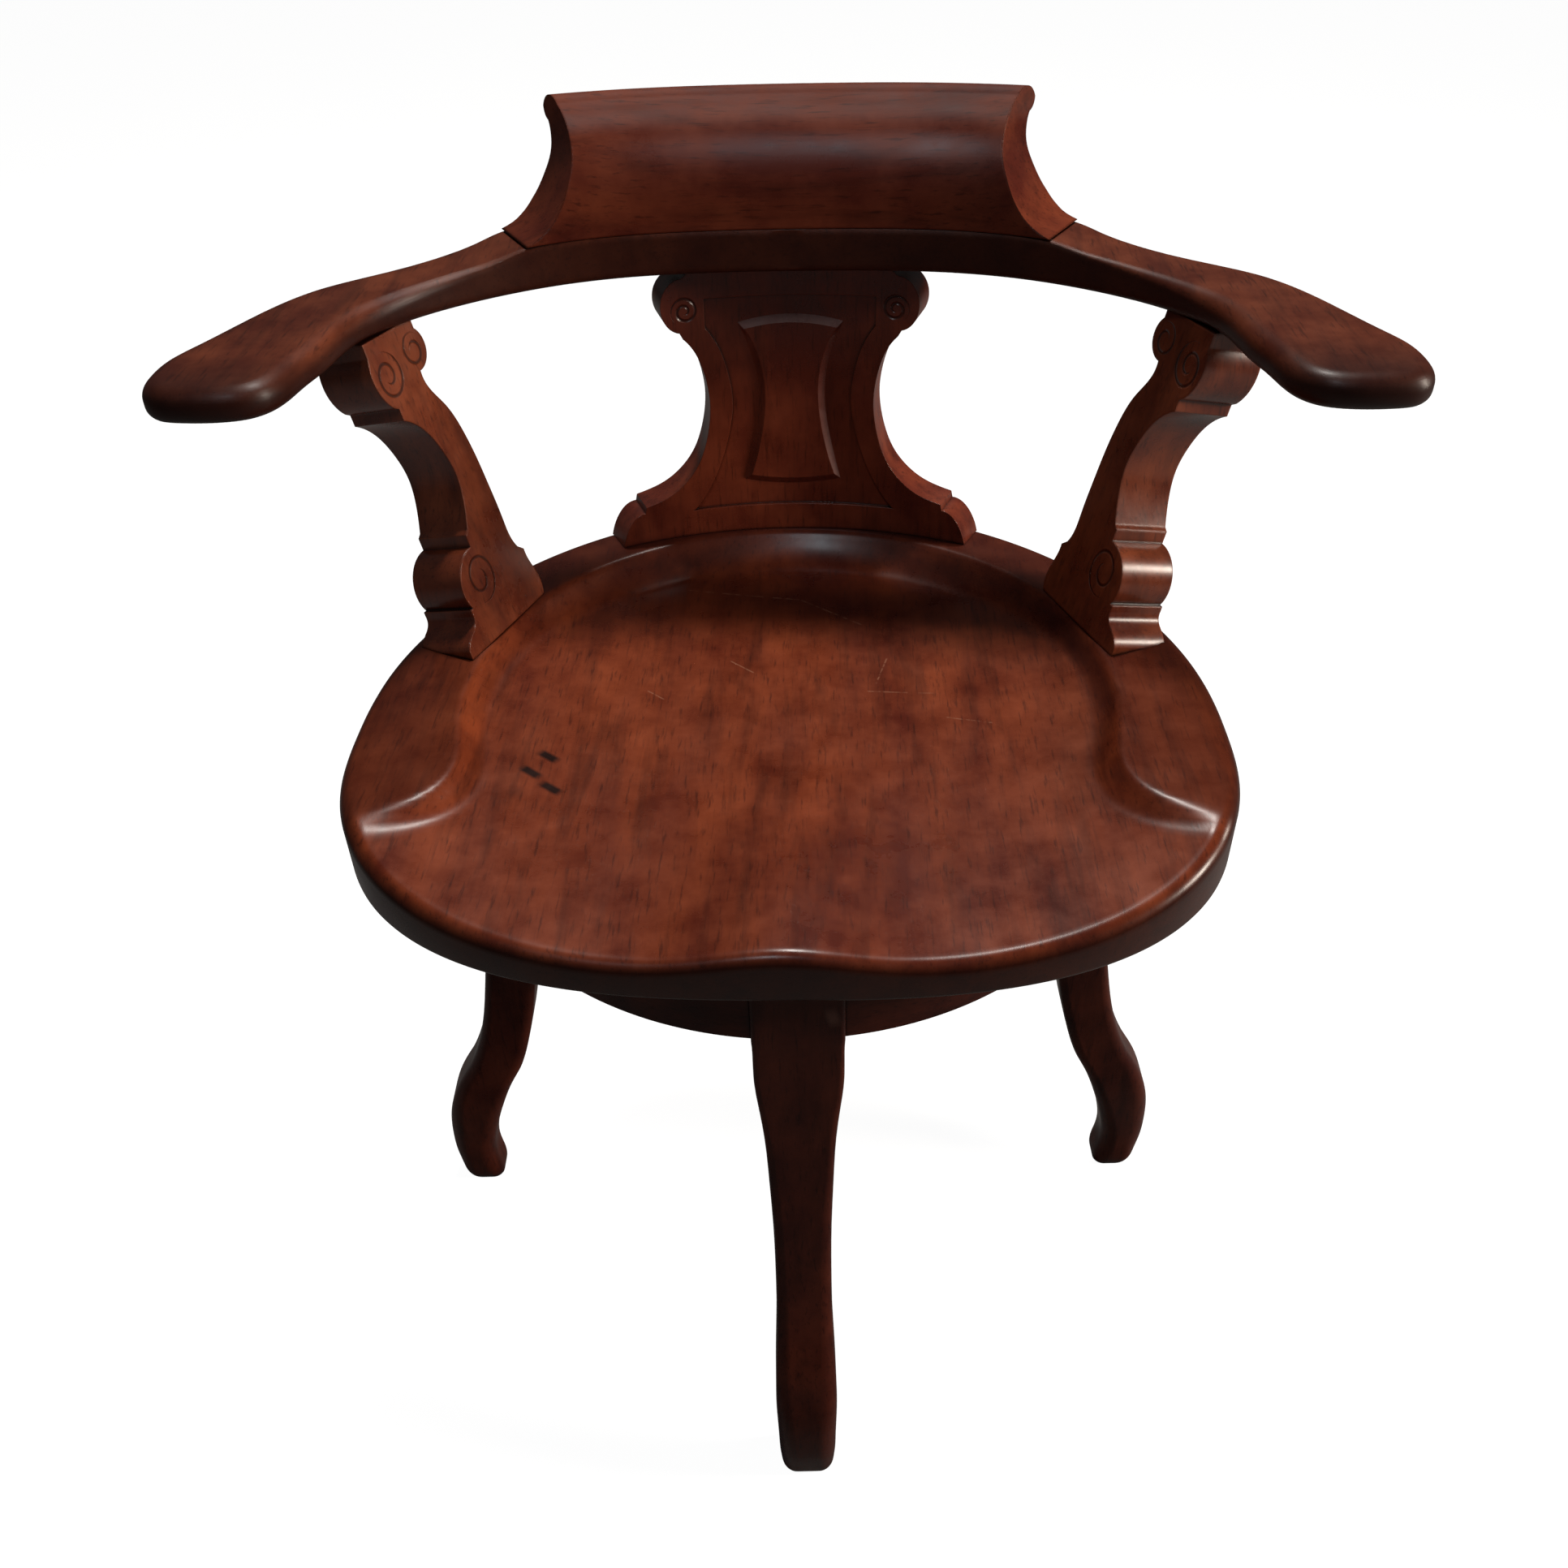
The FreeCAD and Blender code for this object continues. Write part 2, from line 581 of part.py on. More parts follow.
def back_splat():
    outer = SPLAT_FRONT_RADIUS + SPLAT_THICKNESS
    body = splat_shell(SPLAT_FRONT_RADIUS, outer, RIM_TOP, BOW_BOTTOM)
    body = body.common(radial_prism(splat_outline()))
    sunk = splat_shell(SPLAT_FRONT_RADIUS - 1, SPLAT_FRONT_RADIUS + GROUND_DEPTH, RIM_TOP, BOW_BOTTOM)
    sunk = sunk.common(radial_prism(ground_outline()))
    wires = []
    for plane, grow in ((SPLAT_FRONT_RADIUS - GROUND_DEPTH, -PANEL_BEVEL),
                        (SPLAT_FRONT_RADIUS + GROUND_DEPTH, PANEL_BEVEL)):
        wires.append(plane_wire(panel_outline(grow), plane))
    panel = Part.makeLoft(wires, True, True)
    body = body.cut(sunk.cut(panel))
    for tenon in splat_tenons(0.0):
        body = body.fuse(tenon)
    return tidy(body)


def plane_wire(outline, plane):
    edges = []
    for kind, points in outline:
        placed = [splat_point(a, h, plane) for a, h in points]
        if kind == "curve":
            edges.append(spline(placed))
        else:
            edges += [line(p, q) for p, q in zip(placed, placed[1:])]
    return Part.Wire(edges)


# Arm supports: a scrolled plank, leaning outward

def support_frame():
    """Origin, rearward, upward and through-thickness directions of the right plank."""
    toe = math.radians(SUPPORT_TOE)
    lean = math.radians(SUPPORT_LEAN)
    rearward = Vector(-math.sin(toe), math.cos(toe), 0)
    outward = Vector(math.cos(toe), math.sin(toe), 0)
    upward = UP * math.cos(lean) + outward * math.sin(lean)
    through = outward * math.cos(lean) - UP * math.sin(lean)
    return Vector(SUPPORT_CORNER_X, SUPPORT_CORNER_Y, RIM_TOP), rearward, upward, through


def support_point(back, high, deep):
    origin, rearward, upward, through = support_frame()
    return origin + rearward * back + upward * high + through * deep


def support_height():
    return (BOW_BOTTOM - RIM_TOP) / math.cos(math.radians(SUPPORT_LEAN))


def arm_support(cuts):
    high = support_height()
    over = 14.0

    def at(back, up):
        return support_point(back, up, 0)

    edges = [
        line(at(0, -over), at(0, 6)),
        spline([at(0, 6), at(2.5, 10), at(8, 14), at(13, 17), at(15.5, 22)]),
        line(at(15.5, 22), at(15.5, 27)),
        line(at(15.5, 27), at(18, 27)),
        arc(at(18, 27), at(18.5, 50), at(37, 60)),
        line(at(37, 60), at(37, 68)),
        line(at(37, 68), at(40, 70)),
        spline([at(40, 70), at(46.5, 86), at(49.5, 103), at(46, 120), at(38, 136), at(24, 148)]),
        line(at(24, 148), at(24, 155)),
        line(at(24, 155), at(20.5, 157)),
        arc(at(20.5, 157), at(12.5, 173), at(15, high - 8)),
        line(at(15, high - 8), at(15, high + over)),
        line(at(15, high + over), at(62, high + over)),
        line(at(62, high + over), at(62, high - 6)),
        arc(at(62, high - 6), at(66.5, 179), at(54, 167)),
        spline([at(54, 167), at(54, 161), at(64, 142), at(70.5, 123), at(73.5, 104),
                at(75, 84), at(76, 62), at(77, 46), at(80, 39)]),
        line(at(80, 39), at(85, 35)),
        spline([at(85, 35), at(86, 26), at(89, 16), at(90, 8), at(88, 0)]),
        line(at(88, 0), at(88, -over)),
        line(at(88, -over), at(0, -over))]
    origin, rearward, upward, through = support_frame()
    plank = prism(edges, through * SUPPORT_THICKNESS)
    plank = plank.common(slab(RIM_TOP, BOW_BOTTOM))
    return tidy(plank.cut(cuts))


# Fasteners of the upper part

def support_screw_points():
    """Heads of the screws that come up through the seat into a support."""
    points = []
    for back in (26.0, 64.0):
        foot = support_point(back, 14, SUPPORT_THICKNESS / 2)
        points.append(Vector(foot.x, foot.y, SEAT_BOTTOM + SUPPORT_SCREW_SINK))
    return points


def support_screws(extra=0.0):
    return [screw(p, UP, SUPPORT_SCREW_LENGTH, WOOD_SCREW_RADIUS, extra)
            for p in support_screw_points()]


def support_screw_wells():
    return [cylinder(WOOD_SCREW_HEAD + 1, SEAT_BOTTOM - 1, p.z + FIT, p.x, p.y)
            for p in support_screw_points()]


def head_dowels(extra=0.0):
    """Pegs between the head of the right support and the arm above it."""
    pegs = []
    for back in (27.0, 50.0):
        foot = support_point(back, support_height(), SUPPORT_THICKNESS / 2)
        middle = Vector(foot.x, foot.y, BOW_BOTTOM)
        pegs.append(dowel(middle, UP, BOW_DOWEL_RADIUS, SUPPORT_DOWEL_LENGTH, extra))
    return pegs


def bow_dowels(extra=0.0):
    """Pegs across the joint at the centre of the bow."""
    pegs = []
    for share in (0.3, 0.75):
        y = BOW_BACK_Y + share * BOW_BACK_WIDTH
        z = BOW_BOTTOM + SPLAT_BOW_TENON_DEPTH + BOW_DOWEL_RADIUS + 3.5
        pegs.append(dowel(Vector(0, y, z), Vector(1, 0, 0), BOW_DOWEL_RADIUS, BOW_DOWEL_LENGTH, extra))
    return pegs


def crest_screw_points():
    points = []
    for x, back in ((-118, 8), (-62, 0), (62, 0), (118, 8)):
        y = BOW_BACK_Y + 0.42 * CREST_BASE - back
        points.append(Vector(x, y, BOW_BOTTOM + PLUG_DEPTH + FIT))
    return points


def crest_screws(extra=0.0):
    return [screw(p, UP, CREST_SCREW_LENGTH, WOOD_SCREW_RADIUS, extra) for p in crest_screw_points()]


def crest_plugs(extra=0.0):
    return [cylinder(PLUG_RADIUS + extra, BOW_BOTTOM - extra, BOW_BOTTOM + PLUG_DEPTH + extra, p.x, p.y)
            for p in crest_screw_points()]


# Cabriole legs, drawn along +X and turned to their places

def leg_section(height, inner, outer, width, corner):
    half = width / 2
    bend = corner * (1 - math.sqrt(0.5))

    def at(x, y):
        return Vector(x, y, height)

    return Part.Wire([
        line(at(outer, -half + corner), at(outer, half - corner)),
        arc(at(outer, half - corner), at(outer - bend, half - bend), at(outer - corner, half)),
        line(at(outer - corner, half), at(inner + corner, half)),
        arc(at(inner + corner, half), at(inner + bend, half - bend), at(inner, half - corner)),
        line(at(inner, half - corner), at(inner, -half + corner)),
        arc(at(inner, -half + corner), at(inner + bend, -half + bend), at(inner + corner, -half)),
        line(at(inner + corner, -half), at(outer - corner, -half)),
        arc(at(outer - corner, -half), at(outer - bend, -half + bend), at(outer, -half + corner))])


def leg_blank():
    """Leg from the sole to its square block, with the outward sweep of the foot."""
    reach = LEG_FLARE
    wide = LEG_BLOCK_WIDTH
    block = LEG_BLOCK_DEPTH
    # height share, outward share of the flare, thickness, width, corner round
    sections = [
        (0.000, 0.80, 25.0, SOLE_WIDTH - 3, 8.0), (0.012, 0.86, 28.5, SOLE_WIDTH + 1, 9.0),
        (0.045, 0.92, 29.5, 35.0, 10.0), (0.090, 0.975, 31.0, 36.5, 11.0),
        (0.140, 1.000, 34.5, 37.0, 11.0), (0.195, 0.995, 38.5, 38.0, 11.0),
        (0.245, 0.945, 40.5, 38.6, 10.0), (0.300, 0.830, 40.5, 37.6, 9.0),
        (0.360, 0.640, 39.0, 35.6, 8.0), (0.430, 0.465, 37.0, 34.4, 7.0),
        (0.500, 0.345, 36.5, 34.2, 6.5), (0.590, 0.235, 36.5, 35.0, 6.0),
        (0.690, 0.130, 37.5, 37.8, 5.0), (0.780, 0.060, 39.5, 41.0, 4.0),
        (0.850, 0.025, 42.0, 46.0, 3.5), (0.915, 0.005, 44.5, 50.2, 3.0),
        (1.000, 0.000, block, wide, 2.5)]
    wires = []
    for share, sweep, thick, width, corner in sections:
        outer = LEG_FACE + sweep * reach
        wires.append(leg_section(share * BLOCK_BOTTOM, outer - thick, outer, width, corner))
    lower = Part.makeLoft(wires, True, False)
    upper = prism(leg_section(BLOCK_BOTTOM, LEG_FACE - block, LEG_FACE, wide, 2.5).Edges,
                  UP * APRON_DEPTH)
    return lower.fuse(upper)


def leg(degrees, holes):
    blank = leg_blank()
    housing = Part.makeBox(
        2 * RAIL_HOUSING, RAIL_WIDTH, FRAME_TOP - RAIL_BOTTOM + 1,
        Vector(RAIL_END - 2 * RAIL_HOUSING, -RAIL_WIDTH / 2, RAIL_BOTTOM))
    placed = turned(blank.cut(housing), degrees + REST_TURN)
    return tidy(placed.cut(holes))


# Apron ring in four curved rails, pegged to the legs

def apron_pegs(extra=0.0):
    """Two pegs at each side of each leg, drawn for the leg along +X."""
    pegs = []
    for side in (-1, 1):
        for share in (0.28, 0.72):
            z = BLOCK_BOTTOM + share * APRON_DEPTH
            point = Vector(DRUM_RADIUS - APRON_THICKNESS / 2 - 2, side * LEG_BLOCK_WIDTH / 2, z)
            pegs.append(dowel(point, Vector(0, 1, 0), DOWEL_RADIUS, 0.8 * DOWEL_LENGTH, extra))
    return pegs


def apron(start, holes):
    """Quarter of the apron ring between the legs at start and start + 90 degrees."""
    ring = cylinder(DRUM_RADIUS, BLOCK_BOTTOM, FRAME_TOP)
    ring = ring.cut(cylinder(DRUM_RADIUS - APRON_THICKNESS, BLOCK_BOTTOM, FRAME_TOP))
    quarter = Part.makeBox(2 * DRUM_RADIUS, 2 * DRUM_RADIUS, FRAME_TOP, Vector(0, 0, 0))
    rail = ring.common(quarter)
    block = Part.makeBox(2 * DRUM_RADIUS, LEG_BLOCK_WIDTH, FRAME_TOP, Vector(0, -LEG_BLOCK_WIDTH / 2, 0))
    rail = rail.cut(block).cut(turned(block, 90))
    return tidy(turned(rail, start + REST_TURN).cut(holes))


# Cross rails, halved over each other, and the swivel ironwork

def cross_rail(lower, holes):
    half = RAIL_WIDTH / 2
    rail = Part.makeBox(2 * RAIL_END, RAIL_WIDTH, RAIL_THICKNESS, Vector(-RAIL_END, -half, RAIL_BOTTOM))
    notch_bottom = RAIL_BOTTOM + RAIL_THICKNESS / 2 if lower else RAIL_BOTTOM
    notch = Part.makeBox(RAIL_WIDTH, RAIL_WIDTH, RAIL_THICKNESS / 2, Vector(-half, -half, notch_bottom))
    rail = rail.cut(notch).cut(cylinder(SLEEVE_RADIUS + FIT, RAIL_BOTTOM, RAIL_TOP))
    return tidy(turned(rail, REST_TURN + (0 if lower else 90)).cut(holes))


def rail_screws(extra=0.0):
    """One screw down through each rail end into its leg."""
    x = RAIL_END - RAIL_HOUSING / 2
    one = screw(Vector(x, 0, RAIL_TOP), DOWN, 45.0, WOOD_SCREW_RADIUS, extra)
    return [turned(one, REST_TURN + 90 * n) for n in range(4)]


def socket_plate_screws(extra=0.0):
    x = 0.78 * SOCKET_PLATE_RADIUS
    one = screw(Vector(x, 0, SOCKET_PLATE_TOP), DOWN, IRON_SCREW_LENGTH, WOOD_SCREW_RADIUS, extra)
    return [turned(one, REST_TURN + 90 * n) for n in range(4)]


def socket_plate(holes):
    """Iron flange let down on the rails, with the sleeve that the spindle turns in."""
    flange = cylinder(SOCKET_PLATE_RADIUS, RAIL_TOP, SOCKET_PLATE_TOP)
    sleeve = cylinder(SLEEVE_RADIUS, SLEEVE_BOTTOM, SOCKET_PLATE_TOP)
    bore = cylinder(SPINDLE_RADIUS + RUNNING_CLEARANCE, SLEEVE_BOTTOM - 1, SOCKET_PLATE_TOP + 1)
    return tidy(flange.fuse(sleeve).cut(bore).cut(holes))


def thrust_ring():
    """Bronze ring that carries the seat plate."""
    ring = cylinder(THRUST_RING_RADIUS, SOCKET_PLATE_TOP, SEAT_PLATE_BOTTOM - LIFT_GAP)
    return ring.cut(cylinder(SPINDLE_RADIUS + 0.5, SOCKET_PLATE_TOP, SEAT_PLATE_BOTTOM))


def seat_plate_screws(extra=0.0):
    x = 0.82 * SEAT_PLATE_RADIUS
    one = screw(Vector(x, 0, SEAT_PLATE_BOTTOM), UP, IRON_SCREW_LENGTH + 4, WOOD_SCREW_RADIUS, extra)
    return [turned(one, 30 + 60 * n) for n in range(6)]


def seat_plate(holes):
    plate = cylinder(SEAT_PLATE_RADIUS, SEAT_PLATE_BOTTOM, SEAT_BOTTOM)
    bore = cylinder(SPINDLE_RADIUS + FIT, SEAT_PLATE_BOTTOM - 1, SEAT_BOTTOM + 1)
    return tidy(plate.cut(bore).cut(holes))


def split_pin(extra=0.0):
    reach = 2 * SPINDLE_RADIUS + 12
    return dowel(Vector(0, 0, PIN_Z), Vector(0, 1, 0), PIN_RADIUS, reach, extra)


def spindle():
    shaft = cylinder(SPINDLE_RADIUS, SPINDLE_BOTTOM, SEAT_BOTTOM)
    shaft = shaft.makeChamfer(1.5, [e for e in shaft.Edges if e.BoundBox.ZMax < SPINDLE_BOTTOM + 0.1])
    return shaft.cut(split_pin(FIT))


def spindle_washer():
    ring = cylinder(WASHER_RADIUS, NUT_TOP, WASHER_TOP)
    return ring.cut(cylinder(SPINDLE_RADIUS + 0.4, NUT_TOP - 1, WASHER_TOP + 1))


def spindle_nut():
    corner = NUT_ACROSS_FLATS / math.sqrt(3)
    points = [polar(corner, 60 * n, NUT_BOTTOM) for n in range(7)]
    nut = Part.Face(Part.makePolygon(points)).extrude(UP * NUT_THICKNESS)
    return nut.cut(cylinder(SPINDLE_RADIUS + FIT, NUT_BOTTOM - 1, NUT_TOP + 1))


# Whole chair

def upper_part():
    """Pieces that turn with the seat."""
    mortises = splat_tenons(MORTISE_FIT)
    right_pegs = head_dowels(FIT)
    left_pegs = [mirrored(p) for p in right_pegs]
    right_screws = support_screws(FIT)
    left_screws = [mirrored(s) for s in right_screws]
    wells = support_screw_wells()
    wells += [mirrored(w) for w in wells]
    seat_cuts = [mortises[0]] + right_screws + left_screws + wells + seat_plate_screws(FIT)
    bow_cuts = [mortises[1]] + bow_dowels(FIT) + crest_screws(FIT) + crest_plugs(FIT)
    right_support_cuts = right_pegs + right_screws
    pieces = {
        "seat_board": seat_board(seat_cuts),
        "back_splat": back_splat(),
        "arm_support_right": arm_support(right_support_cuts),
        "arm_right": arm(bow_cuts + right_pegs)}
    pieces["arm_support_left"] = mirrored(pieces["arm_support_right"])
    pieces["arm_left"] = mirrored(pieces["arm_right"])
    pieces["crest_rail"] = crest_rail(crest_screws(FIT))
    pieces["bow_dowels"] = group(bow_dowels())
    pieces["crest_screws"] = group(crest_screws())
    pieces["crest_screw_plugs"] = group(crest_plugs())
    pieces["support_head_dowels"] = group(head_dowels() + [mirrored(p) for p in head_dowels()])
    pieces["support_screws"] = group(support_screws() + [mirrored(s) for s in support_screws()])
    pieces["seat_plate"] = seat_plate(seat_plate_screws(FIT))
    pieces["seat_plate_screws"] = group(seat_plate_screws())
    pieces["spindle"] = spindle()
    pieces["spindle_washer"] = spindle_washer()
    pieces["spindle_nut"] = spindle_nut()
    pieces["split_pin"] = split_pin()
    return pieces


def under_frame():
    """Pieces that stand on the floor."""
    places = {"right": 0, "rear": 90, "left": 180, "front": 270}
    rail_holes = rail_screws(FIT)
    peg_holes = []
    pegs = []
    for degrees in places.values():
        peg_holes += [turned(p, degrees + REST_TURN) for p in apron_pegs(FIT)]
        pegs += [turned(p, degrees + REST_TURN) for p in apron_pegs()]
    pieces = {}
    for name, degrees in places.items():
        pieces["leg_" + name] = leg(degrees, rail_holes + peg_holes)
    quarters = {"rear_right": 0, "rear_left": 90, "front_left": 180, "front_right": 270}
    for name, start in quarters.items():
        pieces["apron_" + name] = apron(start, peg_holes)
    rail_cuts = rail_holes + socket_plate_screws(FIT)
    pieces["cross_rail_lower"] = cross_rail(True, rail_cuts)
    pieces["cross_rail_upper"] = cross_rail(False, rail_cuts)
    pieces["apron_dowels"] = group(pegs)
    pieces["cross_rail_screws"] = group(rail_screws())
    pieces["socket_plate"] = socket_plate(socket_plate_screws(FIT))
    pieces["socket_plate_screws"] = group(socket_plate_screws())
    pieces["thrust_ring"] = thrust_ring()
    return pieces


os.makedirs("parts", exist_ok=True)
for pieces in (under_frame(), upper_part()):
    for node, shape in pieces.items():
        export(node, shape)
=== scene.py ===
import math

import bpy
import numpy as np
from mathutils import Matrix, Vector

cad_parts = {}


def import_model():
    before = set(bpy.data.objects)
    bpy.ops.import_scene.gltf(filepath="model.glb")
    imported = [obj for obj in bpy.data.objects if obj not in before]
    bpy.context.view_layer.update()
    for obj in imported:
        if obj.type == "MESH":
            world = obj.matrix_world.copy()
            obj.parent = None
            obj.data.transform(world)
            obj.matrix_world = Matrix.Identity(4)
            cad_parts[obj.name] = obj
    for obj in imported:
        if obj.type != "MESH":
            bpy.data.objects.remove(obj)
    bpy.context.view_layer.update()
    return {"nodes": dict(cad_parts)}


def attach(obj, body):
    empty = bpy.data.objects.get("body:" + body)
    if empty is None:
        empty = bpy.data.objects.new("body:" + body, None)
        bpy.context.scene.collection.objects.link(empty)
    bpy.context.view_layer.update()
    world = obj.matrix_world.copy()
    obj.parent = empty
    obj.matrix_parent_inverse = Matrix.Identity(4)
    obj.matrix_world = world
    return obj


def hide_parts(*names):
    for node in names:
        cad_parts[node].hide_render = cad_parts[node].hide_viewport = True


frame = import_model()

# Captains chair of dark polished mahogany: a saddled seat with a horseshoe bow, crest rail,
# carved splat and two scrolled supports, which turns on a drum-shaped base with four legs.
# Lengths are in metres.

# Camera of the photograph, angles in degrees
CAMERA_PLACE = (0.0230, -0.7156, 0.9447)
CAMERA_YAW = -2.24
CAMERA_PITCH = 37.96
CAMERA_ROLL = -1.60
CAMERA_LENS = 32.15

# Wood colours, linear: dark, middle and light tone
SEAT_TONES = ((0.030, 0.0056, 0.0030), (0.090, 0.0130, 0.0056), (0.255, 0.0500, 0.0150))
ARM_TONES = ((0.020, 0.0042, 0.0024), (0.078, 0.0142, 0.0064), (0.165, 0.0380, 0.0145))
SPLAT_TONES = ((0.024, 0.0048, 0.0030), (0.115, 0.0185, 0.0095), (0.230, 0.0450, 0.0180))
BACK_TONES = ((0.026, 0.0050, 0.0032), (0.088, 0.0145, 0.0078), (0.175, 0.0360, 0.0150))
SUPPORT_TONES = ((0.026, 0.0054, 0.0032), (0.120, 0.0215, 0.0090), (0.245, 0.0540, 0.0180))
# The base's tones are darker partly as painted shade on its upright faces.
BASE_TONES = ((0.012, 0.0024, 0.0018), (0.044, 0.0076, 0.0046), (0.095, 0.0190, 0.0095))
HIDDEN_TONES = ((0.060, 0.0250, 0.0120), (0.160, 0.0750, 0.0350), (0.230, 0.1200, 0.0600))
DOWEL_TONES = ((0.250, 0.1500, 0.0750), (0.400, 0.2600, 0.1400), (0.500, 0.3500, 0.2000))

# Carved lines: half widths at their edge and in their core, and their run-out at the ends
LINE_EDGE = 0.0012
LINE_CORE = 0.0003
LINE_END = 0.0005


# Node helpers

class Nodes:
    """Small builder for a material's node tree."""

    def __init__(self, name):
        self.material = bpy.data.materials.new(name)
        self.material.use_nodes = True
        self.tree = self.material.node_tree
        self.tree.nodes.clear()
        self.shader = self.add("ShaderNodeBsdfPrincipled")
        output = self.add("ShaderNodeOutputMaterial")
        self.link(self.shader.outputs[0], output.inputs["Surface"])
        self.place = self.add("ShaderNodeTexCoord").outputs["Object"]

    def add(self, kind, **settings):
        node = self.tree.nodes.new(kind)
        for key, value in settings.items():
            setattr(node, key, value)
        return node

    def link(self, source, target):
        self.tree.links.new(source, target)

    def feed(self, socket, value):
        """Links a socket, or sets a plain value."""
        if isinstance(value, bpy.types.NodeSocket):
            self.link(value, socket)
        else:
            socket.default_value = value

    def math(self, operation, a, b=0.0):
        node = self.add("ShaderNodeMath", operation=operation)
        self.feed(node.inputs[0], a)
        self.feed(node.inputs[1], b)
        return node.outputs[0]

    def times(self, first, *others):
        """Product of several values."""
        for other in others:
            first = self.math("MULTIPLY", first, other)
        return first

    def mapped(self, scale=(1, 1, 1), offset=(0, 0, 0)):
        """The place, stretched and shifted for a texture."""
        node = self.add("ShaderNodeMapping")
        node.inputs["Scale"].default_value = scale
        node.inputs["Location"].default_value = offset
        self.link(self.place, node.inputs["Vector"])
        return node.outputs[0]

    def axes(self, vector=None):
        """The x, y and z of a vector, or of the place."""
        node = self.add("ShaderNodeSeparateXYZ")
        self.link(vector or self.place, node.inputs[0])
        return node.outputs[:3]

    def side(self):
        """The way the surface faces."""
        return self.add("ShaderNodeNewGeometry").outputs["Normal"]

    def attribute(self, name):
        """A value that the mesh holds at its points."""
        return self.add("ShaderNodeAttribute", attribute_name=name).outputs["Fac"]

    def dot(self, first, second):
        node = self.add("ShaderNodeVectorMath", operation="DOT_PRODUCT")
        self.link(first, node.inputs[0])
        self.feed(node.inputs[1], second)
        return node.outputs["Value"]

    def along(self, vector, direction, start):
        """Distance from start along a direction."""
        offset = sum(d * s for d, s in zip(direction, start))
        return self.math("SUBTRACT", self.dot(vector, direction), offset)

    def bevel(self, radius):
        """The way the surface would face if its arrises were rounded."""
        node = self.add("ShaderNodeBevel", samples=4)
        node.inputs["Radius"].default_value = radius
        return node.outputs[0]

    def openness(self, reach):
        """1 on open surfaces, towards 0 in corners narrower than reach."""
        node = self.add("ShaderNodeAmbientOcclusion", samples=6)
        node.inputs["Distance"].default_value = reach
        return node.outputs["AO"]

    def mirrored(self):
        """The place with x made positive, so that left and right share one carving."""
        x, y, z = self.axes()
        node = self.add("ShaderNodeCombineXYZ")
        for socket, value in zip(node.inputs, (self.math("ABSOLUTE", x), y, z)):
            self.link(value, socket)
        return node.outputs[0]

    def noise(self, vector, scale, detail, rough, distortion=0.0):
        node = self.add("ShaderNodeTexNoise")
        self.link(vector, node.inputs["Vector"])
        node.inputs["Scale"].default_value = scale
        node.inputs["Detail"].default_value = detail
        node.inputs["Roughness"].default_value = rough
        node.inputs["Distortion"].default_value = distortion
        return node.outputs["Fac"]

    def ramp(self, value, low, high, start=0.0, end=1.0):
        """start where the value is at or before low, end where it is at or past high."""
        node = self.add("ShaderNodeMapRange", clamp=True)
        self.feed(node.inputs["Value"], value)
        node.inputs["From Min"].default_value = low
        node.inputs["From Max"].default_value = high
        node.inputs["To Min"].default_value = start
        node.inputs["To Max"].default_value = end
        return node.outputs[0]

    def mix(self, share, a, b):
        """Colour a, or b where share is 1."""
        node = self.add("ShaderNodeMix", data_type="RGBA", clamp_factor=True)
        self.feed(node.inputs["Factor"], share)
        for socket, value in ((node.inputs["A"], a), (node.inputs["B"], b)):
            self.feed(socket, value if isinstance(value, bpy.types.NodeSocket) else (*value, 1.0))
        return node.outputs["Result"]

    def bump(self, height, strength, distance, before=None):
        node = self.add("ShaderNodeBump")
        node.inputs["Strength"].default_value = strength
        node.inputs["Distance"].default_value = distance
        self.link(height, node.inputs["Height"])
        if before:
            self.link(before, node.inputs["Normal"])
        return node.outputs[0]

    def stroke(self, start, end, width, soft, upright=False):
        """1 on a straight stroke between two plan points, 0 beside it.
        The points of an upright stroke are given in x and z."""
        length = math.hypot(end[0] - start[0], end[1] - start[1])
        c, s = (end[0] - start[0]) / length, (end[1] - start[1]) / length
        middle = Vector(((start[0] + end[0]) / 2, (start[1] + end[1]) / 2, 0))
        ahead, aside = Vector((c, s, 0)), Vector((-s, c, 0))
        if upright:
            middle, ahead, aside = (Vector((v.x, v.z, v.y)) for v in (middle, ahead, aside))
        along = self.math("ABSOLUTE", self.along(self.place, ahead, middle))
        beside = self.math("ABSOLUTE", self.along(self.place, aside, middle))
        inside = self.ramp(along, length / 2, length / 2 - 2 * soft)
        across = self.ramp(beside, width / 2 + soft / 2, max(width / 2 - soft / 2, 0))
        return self.times(inside, across)

    def distance(self, a, b):
        """Length of the flat vector with the parts a and b."""
        return self.math("SQRT", self.math("ADD", self.times(a, a), self.times(b, b)))

    def spiral(self, u, v, centre, inner, outer, pitch, hand, tall=1.0, start=0.0):
        """1 on a thin carved line that winds out from inner to outer radius, 0 beside it.
        hand is 1 or -1 for its sense, tall its height to width, start a share of a turn."""
        pu = self.math("SUBTRACT", u, centre[0])
        pv = self.math("DIVIDE", self.math("SUBTRACT", v, centre[1]), tall)
        r = self.distance(pu, pv)
        turn = self.math("DIVIDE", self.math("ARCTAN2", self.times(pv, hand), pu), 2 * math.pi)
        phase = self.math("SUBTRACT", self.math("DIVIDE", r, pitch), turn)
        share = self.math("FRACT", self.math("ADD", phase, 0.5 + start))
        off = self.times(self.math("ABSOLUTE", self.math("SUBTRACT", share, 0.5)), pitch)
        line = self.ramp(off, LINE_EDGE, LINE_CORE)
        inside = self.ramp(r, inner - LINE_END, inner)
        outside = self.ramp(r, outer + LINE_END, outer)
        return self.times(line, self.times(inside, outside))

    def cloud(self, seed, scale, stretch=(1, 1, 1)):
        """Soft patches of no set shape."""
        return self.noise(self.mapped(stretch, seed), scale, 4, 0.6)


